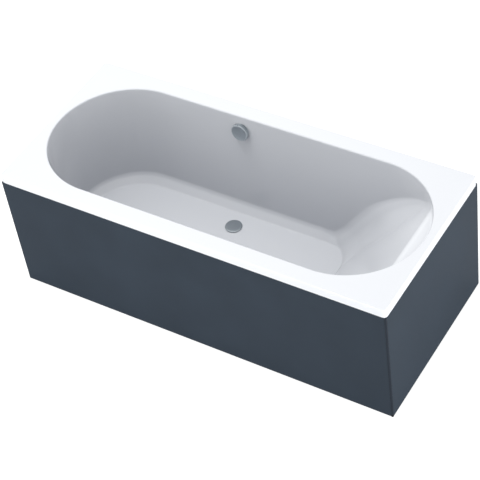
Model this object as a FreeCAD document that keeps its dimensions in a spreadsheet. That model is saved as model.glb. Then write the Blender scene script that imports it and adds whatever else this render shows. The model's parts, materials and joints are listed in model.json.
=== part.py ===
"""Panelled bath: an acrylic basin on a levelling frame, with its two panels and its waste.

Frame: origin on the floor under the middle of the bath, +X towards the backrest end, +Y towards
the wall behind, +Z up. The front and the right end carry panels; the back and the left end stand
against walls. Lengths are in millimetres.
"""
import FreeCAD, Part
import math
import os
import re
import Sketcher
from FreeCAD import Placement, Rotation, Vector

SIZES = {
    # the bath as a whole
    "tub_length": 1700.0,
    "tub_width": 750.0,
    "tub_height": 595.0,
    "acrylic": 5.0,
    "lip_height": 38.0,
    "corner_round": 14.0,
    "lip_round": 3.0,
    "rim_round": 6.0,
    # the basin
    "side_rim": 69.0,
    "end_rim": 33.0,
    "floor_level": 120.0,
    "side_taper": 54.0,
    "foot_end_inset": 20.0,
    "ledge_depth": 51.0,
    "ledge_drop": 20.0,
    "backrest_run": 404.0,
    "valley_round": 70.0,
    "floor_round": 35.0,
    "ledge_round": 12.0,
    # clearances and the overrun of cuts
    "overrun": 60.0,
    "running_gap": 0.3,
    "fit_gap": 0.05,
    # board under the floor and battens under the rim
    "board_thick": 15.0,
    "board_half": 165.0,
    "board_inset": 170.0,
    "board_backrest_gap": 62.0,
    "board_notch": 50.0,
    "batten_setback": 20.0,
    "batten_wide": 35.0,
    "batten_thick": 20.0,
    "batten_end_gap": 11.0,
    "block_long": 90.0,
    "block_wide": 40.0,
    # leg rails and feet
    "rail_setback": 60.0,
    "rail_wide": 40.0,
    "rail_high": 30.0,
    "rail_wall": 2.0,
    "rail_overhang": 20.0,
    "foot_setback": 75.0,
    "foot_travel": 30.0,
    "rod_radius": 6.0,
    "rod_rise": 50.0,
    "pad_radius": 25.0,
    "pad_hub": 11.0,
    "pad_brim": 4.0,
    "pad_high": 22.0,
    "pad_floor": 6.0,
    "nut_flat": 19.0,
    "nut_high": 10.0,
    "centre_plate_half": 45.0,
    "centre_plate_thick": 3.0,
    "sleeve_radius": 10.0,
    # wood screws
    "screw_radius": 2.0,
    "screw_long": 12.0,
    "screw_head": 4.5,
    "screw_head_high": 2.5,
    # panels
    "panel_thick": 16.0,
    "panel_floor_gap": 2.0,
    "hook_rail_thick": 18.0,
    "hook_rail_high": 30.0,
    "hook_rail_drop": 7.0,
    "hook_rail_end_gap": 20.0,
    "clip_thick": 1.5,
    "clip_wide": 30.0,
    "groove_wide": 4.5,
    "groove_deep": 12.0,
    "groove_setback": 6.0,
    "profile_face": 7.0,
    "profile_round": 5.0,
    "profile_leg": 30.0,
    "profile_wall": 1.6,
    "profile_foot": 8.0,
    "cleat_thick": 24.0,
    "cleat_high": 38.0,
    "cleat_end_gap": 30.0,
    "cleat_hole": 2.5,
    "magnet_wide": 40.0,
    "magnet_high": 18.0,
    "magnet_thick": 3.0,
    "strike_thick": 1.0,
    # wall anchors
    "anchor_wide": 40.0,
    "anchor_thick": 3.0,
    "anchor_drop": 60.0,
    "anchor_hook": 18.0,
    "anchor_hole": 4.5,
    "anchor_hole_drop": 38.0,
    # waste fitting
    "drain_offset": 145.0,
    "drain_back": 18.0,
    "tub_hole": 26.0,
    "waste_sleeve": 25.0,
    "waste_sleeve_wall": 2.5,
    "waste_sleeve_long": 18.0,
    "waste_seal_thick": 1.2,
    "waste_flange": 34.0,
    "waste_flange_thick": 1.6,
    "seat_top": 26.0,
    "seat_depth": 2.6,
    "spider_drop": 9.0,
    "spider_thick": 4.0,
    "spider_hub": 7.0,
    "body_seal": 40.0,
    "body_seal_thick": 3.0,
    "body_flange": 42.0,
    "body_flange_thick": 5.0,
    "body_radius": 33.0,
    "body_wall": 4.0,
    "body_neck_depth": 20.0,
    "body_depth": 41.0,
    "tail_radius": 20.0,
    "tail_long": 12.0,
    "pipe_wall": 3.0,
    "stub_radius": 15.0,
    "stub_reach": 52.0,
    "stub_depth": 26.0,
    "cable_boss": 7.0,
    "cable_boss_reach": 48.0,
    "cable_depth": 32.0,
    # plug and its lift
    "plug_radius": 36.0,
    "plug_gap": 0.8,
    "plug_thick": 4.0,
    "plug_crown": 1.6,
    "plug_seal": 23.6,
    "plug_seal_bore": 10.0,
    "plug_seal_thick": 2.2,
    "stem_radius": 4.0,
    "stem_long": 33.0,
    "lever_arm": 24.0,
    "lever_thick": 3.0,
    "lever_wide": 6.0,
    "lever_hub": 4.0,
    "lever_pin": 1.5,
    "lever_pin_long": 40.0,
    # overflow fitting
    "overflow_drop": 68.0,
    "overflow_hole": 24.0,
    "face_sleeve": 22.0,
    "face_sleeve_wall": 2.5,
    "face_sleeve_long": 14.0,
    "face_radius": 33.0,
    "face_thick": 3.0,
    "face_hub": 7.0,
    "overflow_seal": 34.0,
    "overflow_seal_thick": 3.0,
    "housing_flange": 35.0,
    "housing_flange_thick": 4.0,
    "housing_radius": 27.0,
    "housing_wall": 3.0,
    "housing_deep": 42.0,
    "nozzle_reach": 48.0,
    "knob_radius": 37.0,
    "knob_stand": 5.0,
    "knob_high": 16.0,
    "knob_wall": 2.5,
    "knob_round": 7.0,
    "knob_hub": 6.0,
    "shaft_radius": 3.5,
    "shaft_long": 37.0,
    "cam_radius": 12.0,
    "cam_thick": 4.0,
    # overflow pipe and pull cable
    "hose_radius": 13.0,
    "hose_wall": 2.0,
    "hose_bend": 50.0,
    "union_radius": 17.5,
    "union_long": 22.0,
    "cable_radius": 3.0,
    "cable_bend": 45.0,
    "cable_side": 66.0,
    "cable_sweep": 75.0,
    "cable_bow": 84.0,
    "ferrule_radius": 4.5,
    "ferrule_long": 22.0,
    "cable_seat": 12.0,
    # trap and outlet
    "trap_neck_long": 5.7,
    "cup_radius": 38.0,
    "cup_high": 52.0,
    "cup_wall": 3.0,
    "dip_long": 36.0,
    "outlet_radius": 19.0,
    "outlet_rise": 28.0,
    "outlet_reach": 62.0,
    "elbow_start": 16.0,
    "elbow_bend": 30.0,
    "elbow_leg": 28.0,
    "trap_nut": 27.0,
    "trap_nut_high": 14.0,
    "clean_boss": 15.0,
    "clean_plug": 11.0,
    "clean_reach": 44.0,
    "clean_head": 6.0,
}

# places along a side, as shares of the stretch that they follow
CLIP_SHARES = (-0.84, -0.28, 0.28, 0.84)
CLEAT_HOLE_SHARES = (-0.9, -0.3, 0.3, 0.9)
BACK_ANCHOR_SHARES = (-0.9, 0.25, 0.9)
LEFT_ANCHOR_SHARES = (-0.5, 0.5)
CABLE_DROP_SHARES = (0.25, 0.55)
RAIL_SCREW_SHARES = (-0.75, -0.3, 0.3, 0.75)
END_MAGNET_SHARES = (-0.5, 0.5)
# places along an edge where it is tried
SAMPLE_SHARES = (0.0, 0.25, 0.5, 0.75, 1.0)

doc = FreeCAD.newDocument("panelled_bath")
sheet = doc.addObject("Spreadsheet::Sheet", "dims")
PIECES = []
WORD = re.compile(r"[a-z][a-z0-9_]*")


def fill_sheet():
    """Write each driving size into its own named cell."""
    for row, (name, value) in enumerate(SIZES.items(), 1):
        sheet.set("A%d" % row, "'" + name)
        sheet.set("B%d" % row, "%r" % value)
        sheet.setAlias("B%d" % row, name)
    doc.recompute()


def ref(text):
    """The expression with each size name pointing at its cell."""
    return WORD.sub(lambda m: "dims." + m.group(0) if m.group(0) in SIZES else m.group(0), text)


def size(name):
    return float(sheet.get(name))


def opening_half():
    """Half the width of the opening, which is what the side rims leave."""
    return size("tub_width") / 2 - size("side_rim")


def bind(obj, **properties):
    for name, text in properties.items():
        obj.setExpression(name, ref(text))
    return obj


def put(obj, x="0", y="0", z="0", turn=None):
    """Place an object by expressions, turned first if asked."""
    if turn is not None:
        obj.Placement = Placement(Vector(), turn)
    for axis, text in zip("xyz", (x, y, z)):
        obj.setExpression("Placement.Base." + axis, ref(text))
    return obj


def finish(obj, name):
    """Name a finished piece: its label is its file's name."""
    obj.Label = name
    PIECES.append(obj)
    return obj


def box(x, y, z):
    """A block between two places along each axis."""
    block = doc.addObject("Part::Box", "block")
    bind(block, Length="(%s) - (%s)" % (x[1], x[0]), Width="(%s) - (%s)" % (y[1], y[0]),
         Height="(%s) - (%s)" % (z[1], z[0]))
    return put(block, x[0], y[0], z[0])


ALONG = {
    "z": None,
    "x": Rotation(Vector(0, 1, 0), 90),
    "-x": Rotation(Vector(0, 1, 0), -90),
    "y": Rotation(Vector(1, 0, 0), -90),
    "-y": Rotation(Vector(1, 0, 0), 90),
}


def rod(radius, length, x="0", y="0", z="0", along="z"):
    """A round bar from a place, along an axis."""
    bar = doc.addObject("Part::Cylinder", "bar")
    bind(bar, Radius=radius, Height=length)
    return put(bar, x, y, z, ALONG[along])


def hexagon(flat, height, x, y, z, along="z"):
    """A hexagonal bar of a given width across flats."""
    bar = doc.addObject("Part::Prism", "hexagon")
    bar.Polygon = 6
    bind(bar, Circumradius="(%s) / sqrt(3)" % flat, Height=height)
    return put(bar, x, y, z, ALONG[along])


def cut(base, *tools):
    for tool in tools:
        result = doc.addObject("Part::Cut", "cut")
        result.Base = base
        result.Tool = tool
        base = result
    return base


def fuse(*shapes):
    result = doc.addObject("Part::MultiFuse", "fuse")
    result.Shapes = list(shapes)
    return result


def group(*shapes):
    result = doc.addObject("Part::Compound", "group")
    result.Links = list(shapes)
    return result


def new_sketch(body, role, lift=None):
    """A sketch on one of the body's own planes."""
    sketch = body.newObject("Sketcher::SketchObject", body.Name + "_sketch")
    plane = next(f for f in body.Origin.OriginFeatures if f.Role == role)
    sketch.AttachmentSupport = [(plane, "")]
    sketch.MapMode = "FlatFace"
    if lift is not None:
        sketch.setExpression("AttachmentOffset.Base.z", ref(lift))
    return sketch


def hold(sketch, kind, *where, value):
    """Add a dimension as drawn, then bind it to a size."""
    if kind == "Radius":
        drawn = sketch.Geometry[where[0]].Radius
    else:
        point = sketch.getPoint(*where[2:])
        drawn = point.x if kind == "DistanceX" else point.y
    index = sketch.addConstraint(Sketcher.Constraint(kind, *where, drawn))
    sketch.setExpression("Constraints[%d]" % index, ref(value))


def polygon(sketch, points):
    """A closed outline of straight sides, each corner held from the origin."""
    count = len(points)
    ring = [Vector(math.cos(2 * math.pi * k / count), math.sin(2 * math.pi * k / count), 0)
            for k in range(count)]
    for k in range(count):
        sketch.addGeometry(Part.LineSegment(ring[k], ring[(k + 1) % count]))
    for k in range(count):
        sketch.addConstraint(Sketcher.Constraint("Coincident", k, 2, (k + 1) % count, 1))
    for k, (across, along) in enumerate(points):
        hold(sketch, "DistanceX", -1, 1, k, 1, value=across)
        hold(sketch, "DistanceY", -1, 1, k, 1, value=along)


def slot(sketch, left, right, half):
    """An outline of two half circles joined by straight sides."""
    radius = opening_half()
    reach = size("tub_length") / 2 - radius
    up = Vector(0, 0, 1)
    left_arc = Part.Circle(Vector(-reach, 0, 0), up, radius)
    right_arc = Part.Circle(Vector(reach, 0, 0), up, radius)
    sketch.addGeometry(Part.ArcOfCircle(left_arc, math.pi / 2, 3 * math.pi / 2))
    sketch.addGeometry(Part.LineSegment(Vector(-reach, -radius, 0), Vector(reach, -radius, 0)))
    sketch.addGeometry(Part.ArcOfCircle(right_arc, -math.pi / 2, math.pi / 2))
    sketch.addGeometry(Part.LineSegment(Vector(reach, radius, 0), Vector(-reach, radius, 0)))
    for k in range(4):
        sketch.addConstraint(Sketcher.Constraint("Tangent", k, 2, (k + 1) % 4, 1))
    sketch.addConstraint(Sketcher.Constraint("PointOnObject", 0, 3, -1))
    sketch.addConstraint(Sketcher.Constraint("Horizontal", 1))
    sketch.addConstraint(Sketcher.Constraint("Horizontal", 3))
    hold(sketch, "Radius", 0, value=half)
    hold(sketch, "DistanceX", -1, 1, 0, 3, value=left)
    hold(sketch, "DistanceX", -1, 1, 2, 3, value=right)


def turned(name, outline):
    """A body turned about its own vertical axis from (radius, height) corners."""
    body = doc.addObject("PartDesign::Body", name)
    sketch = new_sketch(body, "XZ_Plane")
    polygon(sketch, outline)
    turn = body.newObject("PartDesign::Revolution", name + "_turn")
    turn.Profile = sketch
    turn.ReferenceAxis = (sketch, ["V_Axis"])
    turn.Angle = 360
    return body


def extruded(name, outline, low, high):
    """A body pushed up from a plan outline, between two levels."""
    body = doc.addObject("PartDesign::Body", name)
    sketch = new_sketch(body, "XY_Plane", low)
    polygon(sketch, outline)
    pad = body.newObject("PartDesign::Pad", name + "_pad")
    pad.Profile = sketch
    bind(pad, Length="(%s) - (%s)" % (high, low))
    return body


def edges_where(shape, test):
    """Names of the edges whose sampled points all pass a test."""
    found = []
    for number, edge in enumerate(shape.Edges, 1):
        span = edge.LastParameter - edge.FirstParameter
        if all(test(edge.valueAt(edge.FirstParameter + span * share)) for share in SAMPLE_SHARES):
            found.append("Edge%d" % number)
    return found


def rounded(body, radius, test):
    """Round the chosen edges of a body's last feature."""
    doc.recompute()
    base = body.Tip
    names = edges_where(base.Shape, test)
    fillet = body.newObject("PartDesign::Fillet", body.Name + "_round")
    fillet.Base = (base, names)
    bind(fillet, Radius=radius)
    return body


def softened(base, radius, test):
    """Round the chosen edges of a boolean's result."""
    doc.recompute()
    fillet = doc.addObject("Part::Fillet", "softened")
    fillet.Base = base
    fillet.Edges = [(int(name[4:]), radius, radius) for name in edges_where(base.Shape, test)]
    return fillet


def side_box(side, along, inset, z):
    """A block beside one outer side of the bath, by its insets from that side's face."""
    near, far = inset
    if side == "front":
        return box(along, ("-tub_width / 2 + (%s)" % near, "-tub_width / 2 + (%s)" % far), z)
    if side == "back":
        return box(along, ("tub_width / 2 - (%s)" % far, "tub_width / 2 - (%s)" % near), z)
    if side == "left":
        return box(("-tub_length / 2 + (%s)" % near, "-tub_length / 2 + (%s)" % far), along, z)
    return box(("tub_length / 2 - (%s)" % far, "tub_length / 2 - (%s)" % near), along, z)


def spot(x, y, z):
    """A point worked out from the sizes."""
    point = doc.addObject("Part::Vertex", "spot")
    bind(point, X=x, Y=y, Z=z)
    doc.recompute()
    return Vector(float(point.X), float(point.Y), float(point.Z))


def route_wire(points, radius):
    """Straight runs joined by tangent arcs of one radius."""
    edges = []
    last = points[0]
    for before, corner, after in zip(points, points[1:], points[2:]):
        way_in = (corner - before).normalize()
        way_out = (after - corner).normalize()
        turn = way_in.getAngle(way_out)
        setback = radius * math.tan(turn / 2)
        start = corner - way_in * setback
        end = corner + way_out * setback
        inwards = (way_out - way_in).normalize()
        middle = corner + inwards * (radius / math.cos(turn / 2) - radius)
        edges.append(Part.LineSegment(last, start).toShape())
        edges.append(Part.Arc(start, middle, end).toShape())
        last = end
    edges.append(Part.LineSegment(last, points[-1]).toShape())
    return Part.Wire(edges)


def swept(wire, radius):
    """A round section carried along a wire."""
    start = wire.Edges[0]
    way = start.tangentAt(start.FirstParameter)
    ring = Part.Wire(Part.makeCircle(radius, start.valueAt(start.FirstParameter), way))
    return wire.makePipeShell([ring], True, False)


def pipe(name, points, bend, outer, inner=None):
    """A pipe, or a solid cord where no inner radius is given, along a route."""
    wire = route_wire(points, bend)
    shape = swept(wire, outer)
    section = math.pi * outer ** 2
    if inner is not None:
        shape = shape.cut(swept(wire, inner))
        section -= math.pi * inner ** 2
    feature = doc.addObject("Part::Feature", name)
    feature.Shape = shape
    feature.Placement = Placement()
    print("%s: length %.1f, volume over section times length %.5f"
          % (name, wire.Length, shape.Volume / (section * wire.Length)))
    return feature


# worked-out places that several pieces share
UNDERSIDE = "(floor_level - acrylic)"
BOARD_UNDER = "(floor_level - acrylic - board_thick)"
RAIL_UNDER = "(floor_level - acrylic - board_thick - rail_high)"
RIM_UNDER = "(tub_height - acrylic)"
LIP_BOTTOM = "(tub_height - lip_height)"
BATTEN_UNDER = "(tub_height - acrylic - batten_thick)"
PANEL_TOP = "(tub_height - lip_height - running_gap)"
HOOK_TOP = "(tub_height - lip_height - running_gap - hook_rail_drop)"
MITRE_GAP = "(2 * profile_wall + running_gap)"
OPENING_HALF = "(tub_width / 2 - side_rim)"
FLOOR_HALF = "(tub_width / 2 - side_rim - side_taper)"
CREST_X = "(tub_length / 2 - end_rim - ledge_depth)"
BOARD_LEFT = "(-tub_length / 2 + board_inset)"
BOARD_RIGHT = "(tub_length / 2 - end_rim - ledge_depth - backrest_run - board_backrest_gap)"
RAIL_LEFT = "(%s + rail_setback)" % BOARD_LEFT
RAIL_RIGHT = "(%s - rail_setback)" % BOARD_RIGHT
CENTRE_X = "((%s + %s) / 2)" % (BOARD_LEFT, BOARD_RIGHT)
FOOT_Y = "(tub_width / 2 - foot_setback)"
BATTEN_HALF = "(tub_length / 2 - end_rim - %s - batten_end_gap)" % OPENING_HALF
BLOCK_Y = "(tub_width / 2 - batten_setback - block_long / 2)"
CLIP_SCREW_INSET = "(batten_setback + batten_wide / 2 + screw_head)"
FRONT_HOOK_RAIL = ("-tub_length / 2 + hook_rail_end_gap",
                   "tub_length / 2 - panel_thick - hook_rail_thick - profile_leg")
END_HOOK_RAIL = ("-tub_width / 2 + panel_thick + hook_rail_thick + profile_leg",
                 "tub_width / 2 - hook_rail_end_gap")
FRONT_CLEAT = ("-tub_length / 2 + cleat_end_gap",
               "tub_length / 2 - cleat_end_gap - cleat_thick - profile_leg")
END_CLEAT = ("-tub_width / 2 + cleat_end_gap + cleat_thick + profile_leg",
             "tub_width / 2 - cleat_end_gap")
DRAIN_X = "(-drain_offset)"
DRAIN_Y = "(%s / 2 + drain_back)" % FLOOR_HALF
WASTE_TOP = "(acrylic + waste_seal_thick)"
WASTE_CROWN = "(acrylic + waste_seal_thick + waste_flange_thick)"
PLUG_UNDER = "(%s + plug_gap)" % WASTE_CROWN
STEM_BOTTOM = "(%s - stem_long)" % PLUG_UNDER
LEVER_Z = "(%s - running_gap - lever_thick / 2)" % STEM_BOTTOM
CABLE_X = "(housing_radius - housing_wall / 2)"
NOZZLE_Z = "(-(acrylic + overflow_seal_thick + housing_flange_thick + housing_deep) / 2)"


def basin_solid(name, grow):
    """The space inside the basin, or the block around it where it is grown by the wall.

    The walls run straight from the floor outline to the opening; a sloping backrest, with a
    small ledge over it, takes off the right end.
    """
    body = doc.addObject("PartDesign::Body", name)
    floor = new_sketch(body, "XY_Plane", "floor_level - %s" % grow)
    slot(floor, "-tub_length / 2 + end_rim + foot_end_inset + " + FLOOR_HALF,
         "tub_length / 2 - end_rim - " + FLOOR_HALF, FLOOR_HALF + " + " + grow)
    opening = new_sketch(body, "XY_Plane", "tub_height")
    slot(opening, "-tub_length / 2 + end_rim + " + OPENING_HALF,
         "tub_length / 2 - end_rim - " + OPENING_HALF, OPENING_HALF + " + " + grow)
    walls = body.newObject("PartDesign::AdditiveLoft", name + "_walls")
    walls.Profile = floor
    walls.Sections = [opening]
    walls.Ruled = True

    slope = "(backrest_run / (tub_height - ledge_drop - floor_level))"
    ledge = "(tub_height - ledge_drop - %s)" % grow
    below = "(floor_level - overrun)"
    line = CREST_X + " + %s * sqrt(1 + %s^2) + %s * (%%s - tub_height + ledge_drop)" % (
        grow, slope, slope)
    outside = "(tub_length / 2 + overrun)"
    sketch = new_sketch(body, "XZ_Plane")
    polygon(sketch, [(line % below, below), (outside, below), (outside, ledge), (line % ledge, ledge)])
    backrest = body.newObject("PartDesign::Pocket", name + "_backrest")
    backrest.Profile = sketch
    backrest.Type = "ThroughAll"
    backrest.SideType = "Symmetric"

    grown = size("acrylic") if grow == "acrylic" else 0.0
    run = size("backrest_run") / (size("tub_height") - size("ledge_drop") - size("floor_level"))
    ledge_z = size("tub_height") - size("ledge_drop") - grown
    floor_z = size("floor_level") - grown
    crest = size("tub_length") / 2 - size("end_rim") - size("ledge_depth")
    near = size("running_gap")
    middle = (opening_half() - size("side_taper")) / 2

    def on_slope(p):
        plane_x = crest + grown * math.hypot(1, run) + run * (p.z - ledge_z - grown)
        return abs(p.x - plane_x) < near and abs(p.y) > middle

    rounded(body, "valley_round + %s" % grow, on_slope)
    rounded(body, "floor_round + %s" % grow, lambda p: abs(p.z - floor_z) < near)
    rounded(body, "ledge_round", lambda p: abs(p.z - ledge_z) < near)
    return body


def rim_solid():
    """The flat rim with its turned-down lip, still without the opening."""
    body = extruded("rim", [
        ("-tub_length / 2", "-tub_width / 2"), ("tub_length / 2", "-tub_width / 2"),
        ("tub_length / 2", "tub_width / 2"), ("-tub_length / 2", "tub_width / 2")],
        LIP_BOTTOM, "tub_height")
    half_x = size("tub_length") / 2
    half_y = size("tub_width") / 2
    top = size("tub_height")
    near = size("fit_gap")
    rounded(body, "corner_round", lambda p: abs(abs(p.x) - half_x) + abs(abs(p.y) - half_y) < near)
    rounded(body, "lip_round", lambda p: abs(p.z - top) < near)
    hollow = extruded("rim_hollow", [
        ("-tub_length / 2 + acrylic", "-tub_width / 2 + acrylic"),
        ("tub_length / 2 - acrylic", "-tub_width / 2 + acrylic"),
        ("tub_length / 2 - acrylic", "tub_width / 2 - acrylic"),
        ("-tub_length / 2 + acrylic", "tub_width / 2 - acrylic")],
        "tub_height - lip_height - overrun", RIM_UNDER)
    in_x = half_x - size("acrylic")
    in_y = half_y - size("acrylic")
    rounded(hollow, "corner_round - acrylic",
            lambda p: abs(abs(p.x) - in_x) + abs(abs(p.y) - in_y) < near)
    return cut(body, hollow)


def overflow_place():
    """Where the overflow fitting sits: its axis square to the leaning back wall."""
    share = size("overflow_drop") / (size("tub_height") - size("floor_level"))
    lean = math.degrees(math.atan2(size("side_taper"), size("tub_height") - size("floor_level")))
    place = Vector(-size("drain_offset"), opening_half() - share * size("side_taper"),
                   size("tub_height") - size("overflow_drop"))
    return Placement(place, Rotation(Vector(1, 0, 0), 90 - lean))


def tub_shell():
    """The acrylic shell: rim, lip and basin in one wall, with the drain and overflow holes."""
    outer = basin_solid("basin_outside", "acrylic")
    inner = basin_solid("basin_inside", "0 * acrylic")
    drain = rod("tub_hole", "acrylic + 2 * overrun", DRAIN_X, DRAIN_Y, "floor_level - acrylic - overrun")
    hole = rod("overflow_hole", "2 * overrun", z="-overrun")
    overflow = group(hole)
    overflow.Placement = overflow_place()
    shell = cut(fuse(rim_solid(), outer), inner, drain, overflow)
    top = size("tub_height")
    reach = opening_half() + size("fit_gap")
    near = size("fit_gap")
    shell = softened(shell, size("rim_round"), lambda p: abs(p.z - top) < near and abs(p.y) < reach
                     and abs(p.x) < size("tub_length") / 2 - size("end_rim") + near)
    finish(shell, "tub_shell")


def base_board():
    """Chipboard bonded under the floor, notched round the waste."""
    board = box((BOARD_LEFT, BOARD_RIGHT), ("-board_half", "board_half"), (BOARD_UNDER, UNDERSIDE))
    notch = rod("board_notch", "board_thick + 2 * overrun", DRAIN_X, DRAIN_Y, BOARD_UNDER + " - overrun")
    mouth = box((DRAIN_X + " - board_notch", DRAIN_X + " + board_notch"),
                (DRAIN_Y, "board_half + overrun"),
                (BOARD_UNDER + " - overrun", UNDERSIDE + " + overrun"))
    finish(cut(board, notch, mouth, *screw_bores()), "base_board")


def rail_screw_places():
    places = []
    for rail in (RAIL_LEFT, RAIL_RIGHT):
        for share in RAIL_SCREW_SHARES:
            places.append((rail, "%r * board_half" % share, BOARD_UNDER + " - rail_wall"))
    return places


def plate_screw_places():
    at = "(centre_plate_half - 2 * screw_head)"
    return [(CENTRE_X + x_sign + at, "0" + y_sign + at, BOARD_UNDER + " - centre_plate_thick")
            for x_sign in (" - ", " + ") for y_sign in (" - ", " + ")]


def screw_bores():
    """A running hole for each screw that enters the board."""
    return [rod("screw_radius + fit_gap", "screw_long + overrun", x, y, z + " - overrun")
            for x, y, z in rail_screw_places() + plate_screw_places()]


def upward_screw(x, y, z):
    """A pan-head screw under a plate, driven up."""
    head = rod("screw_head", "screw_head_high", x, y, z + " - screw_head_high")
    return fuse(head, rod("screw_radius", "screw_long", x, y, z))


def rim_battens():
    """Battens under the long rims and a block under each corner of the short ones."""
    for side, name in (("front", "rim_batten_front"), ("back", "rim_batten_back")):
        batten = side_box(side, ("-" + BATTEN_HALF, BATTEN_HALF),
                          ("batten_setback", "batten_setback + batten_wide"), (BATTEN_UNDER, RIM_UNDER))
        if side == "front":
            batten = cut(batten, *[rod("screw_radius + fit_gap", "screw_long + overrun", x, y,
                                       z + " - overrun") for x, y, z in front_clip_screws()])
        finish(batten, name)
    blocks = []
    for side in ("left", "right"):
        for way in ("", "-"):
            at = way + BLOCK_Y
            block = side_box(side, (at + " - block_long / 2", at + " + block_long / 2"),
                             ("batten_setback", "batten_setback + block_wide"),
                             (BATTEN_UNDER, RIM_UNDER))
            if side == "right":
                x, y, z = end_clip_screw(way)
                block = cut(block, rod("screw_radius + fit_gap", "screw_long + overrun", x, y,
                                       z + " - overrun"))
            blocks.append(block)
    finish(group(*blocks), "corner_blocks")


def leg_rail(name, x):
    """A steel channel, open below, with a hole for a levelling screw at each end."""
    half = "(%s + rail_overhang)" % FOOT_Y
    channel = box((x + " - rail_wide / 2", x + " + rail_wide / 2"), ("-" + half, half),
                  (RAIL_UNDER, BOARD_UNDER))
    hollow = box((x + " - rail_wide / 2 + rail_wall", x + " + rail_wide / 2 - rail_wall"),
                 ("-%s - overrun" % half, half + " + overrun"),
                 (RAIL_UNDER + " - overrun", BOARD_UNDER + " - rail_wall"))
    holes = [rod("rod_radius + running_gap", "2 * overrun", x, way + FOOT_Y, BOARD_UNDER + " - overrun")
             for way in ("", "-")]
    bores = [rod("screw_radius + fit_gap", "2 * overrun", x, "%r * board_half" % share,
                 BOARD_UNDER + " - overrun") for share in RAIL_SCREW_SHARES]
    finish(cut(channel, hollow, *holes, *bores), name)


def frame_fasteners():
    """The screws into the board, and a nut over and under each rail on every corner foot's rod."""
    screws = [upward_screw(*place) for place in rail_screw_places() + plate_screw_places()]
    finish(group(*screws), "frame_screws")
    nuts = []
    for rail in (RAIL_LEFT, RAIL_RIGHT):
        for way in ("", "-"):
            for z in (BOARD_UNDER, BOARD_UNDER + " - rail_wall - nut_high"):
                nut = hexagon("nut_flat", "nut_high", rail, way + FOOT_Y, z)
                hole = rod("rod_radius + fit_gap", "nut_high + 2 * overrun", rail, way + FOOT_Y,
                           z + " - overrun")
                nuts.append(cut(nut, hole))
    finish(group(*nuts), "foot_lock_nuts")


def centre_foot_plate():
    """A plate under the board with a long threaded sleeve for the middle foot."""
    under = BOARD_UNDER + " - centre_plate_thick"
    plate = box((CENTRE_X + " - centre_plate_half", CENTRE_X + " + centre_plate_half"),
                ("-centre_plate_half", "centre_plate_half"), (under, BOARD_UNDER))
    sleeve = rod("sleeve_radius", "foot_travel + nut_high", CENTRE_X, "0",
                 under + " - foot_travel - nut_high")
    bore = rod("rod_radius + fit_gap", "foot_travel + nut_high", CENTRE_X, "0",
               under + " - foot_travel - nut_high")
    bores = [rod("screw_radius + fit_gap", "2 * overrun", x, y, z + " - overrun")
             for x, y, z in plate_screw_places()]
    finish(cut(fuse(plate, sleeve), bore, *bores), "centre_foot_plate")


def foot(name, x, y, top):
    """A threaded rod standing in the socket of a plastic pad."""
    bar = rod("rod_radius", top + " - pad_floor", x, y, "pad_floor")
    finish(bar, "foot_rod_" + name)
    pad = turned("pad_" + name, [
        ("0", "0"), ("pad_radius", "0"), ("pad_radius", "pad_brim"),
        ("pad_hub", "pad_brim + pad_floor"), ("pad_hub", "pad_high"),
        ("rod_radius + fit_gap", "pad_high"), ("rod_radius + fit_gap", "pad_floor"),
        ("0", "pad_floor")])
    finish(put(pad, x, y), "foot_pad_" + name)


def feet():
    """A foot at each end of both rails, and one under the middle of the board."""
    high = BOARD_UNDER + " + rod_rise"
    foot("front_left", RAIL_LEFT, "-" + FOOT_Y, high)
    foot("back_left", RAIL_LEFT, FOOT_Y, high)
    foot("front_right", RAIL_RIGHT, "-" + FOOT_Y, high)
    foot("back_right", RAIL_RIGHT, FOOT_Y, high)
    foot("centre", CENTRE_X, "0", BOARD_UNDER + " - centre_plate_thick - running_gap")


def front_panel():
    """The long panel, its right end mitred behind the corner profile."""
    right = "(tub_length / 2 - profile_face - running_gap)"
    front = "(-tub_width / 2)"
    mitre = "(profile_face - %s)" % MITRE_GAP
    finish(extruded("front_board", [
        ("-tub_length / 2", front), (right, front), (right, "%s + %s" % (front, mitre)),
        ("%s - panel_thick + %s" % (right, mitre), front + " + panel_thick"),
        ("-tub_length / 2", front + " + panel_thick")], "panel_floor_gap", PANEL_TOP), "front_panel")


def end_panel():
    """The short panel, its front end mitred behind the corner profile."""
    front = "(-tub_width / 2 + profile_face + running_gap)"
    right = "(tub_length / 2)"
    mitre = "(profile_face - %s)" % MITRE_GAP
    finish(extruded("end_board", [
        (right, front), (right, "tub_width / 2"), (right + " - panel_thick", "tub_width / 2"),
        (right + " - panel_thick", "%s + panel_thick - %s" % (front, mitre)),
        ("%s - %s" % (right, mitre), front)], "panel_floor_gap", PANEL_TOP), "end_panel")


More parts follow.
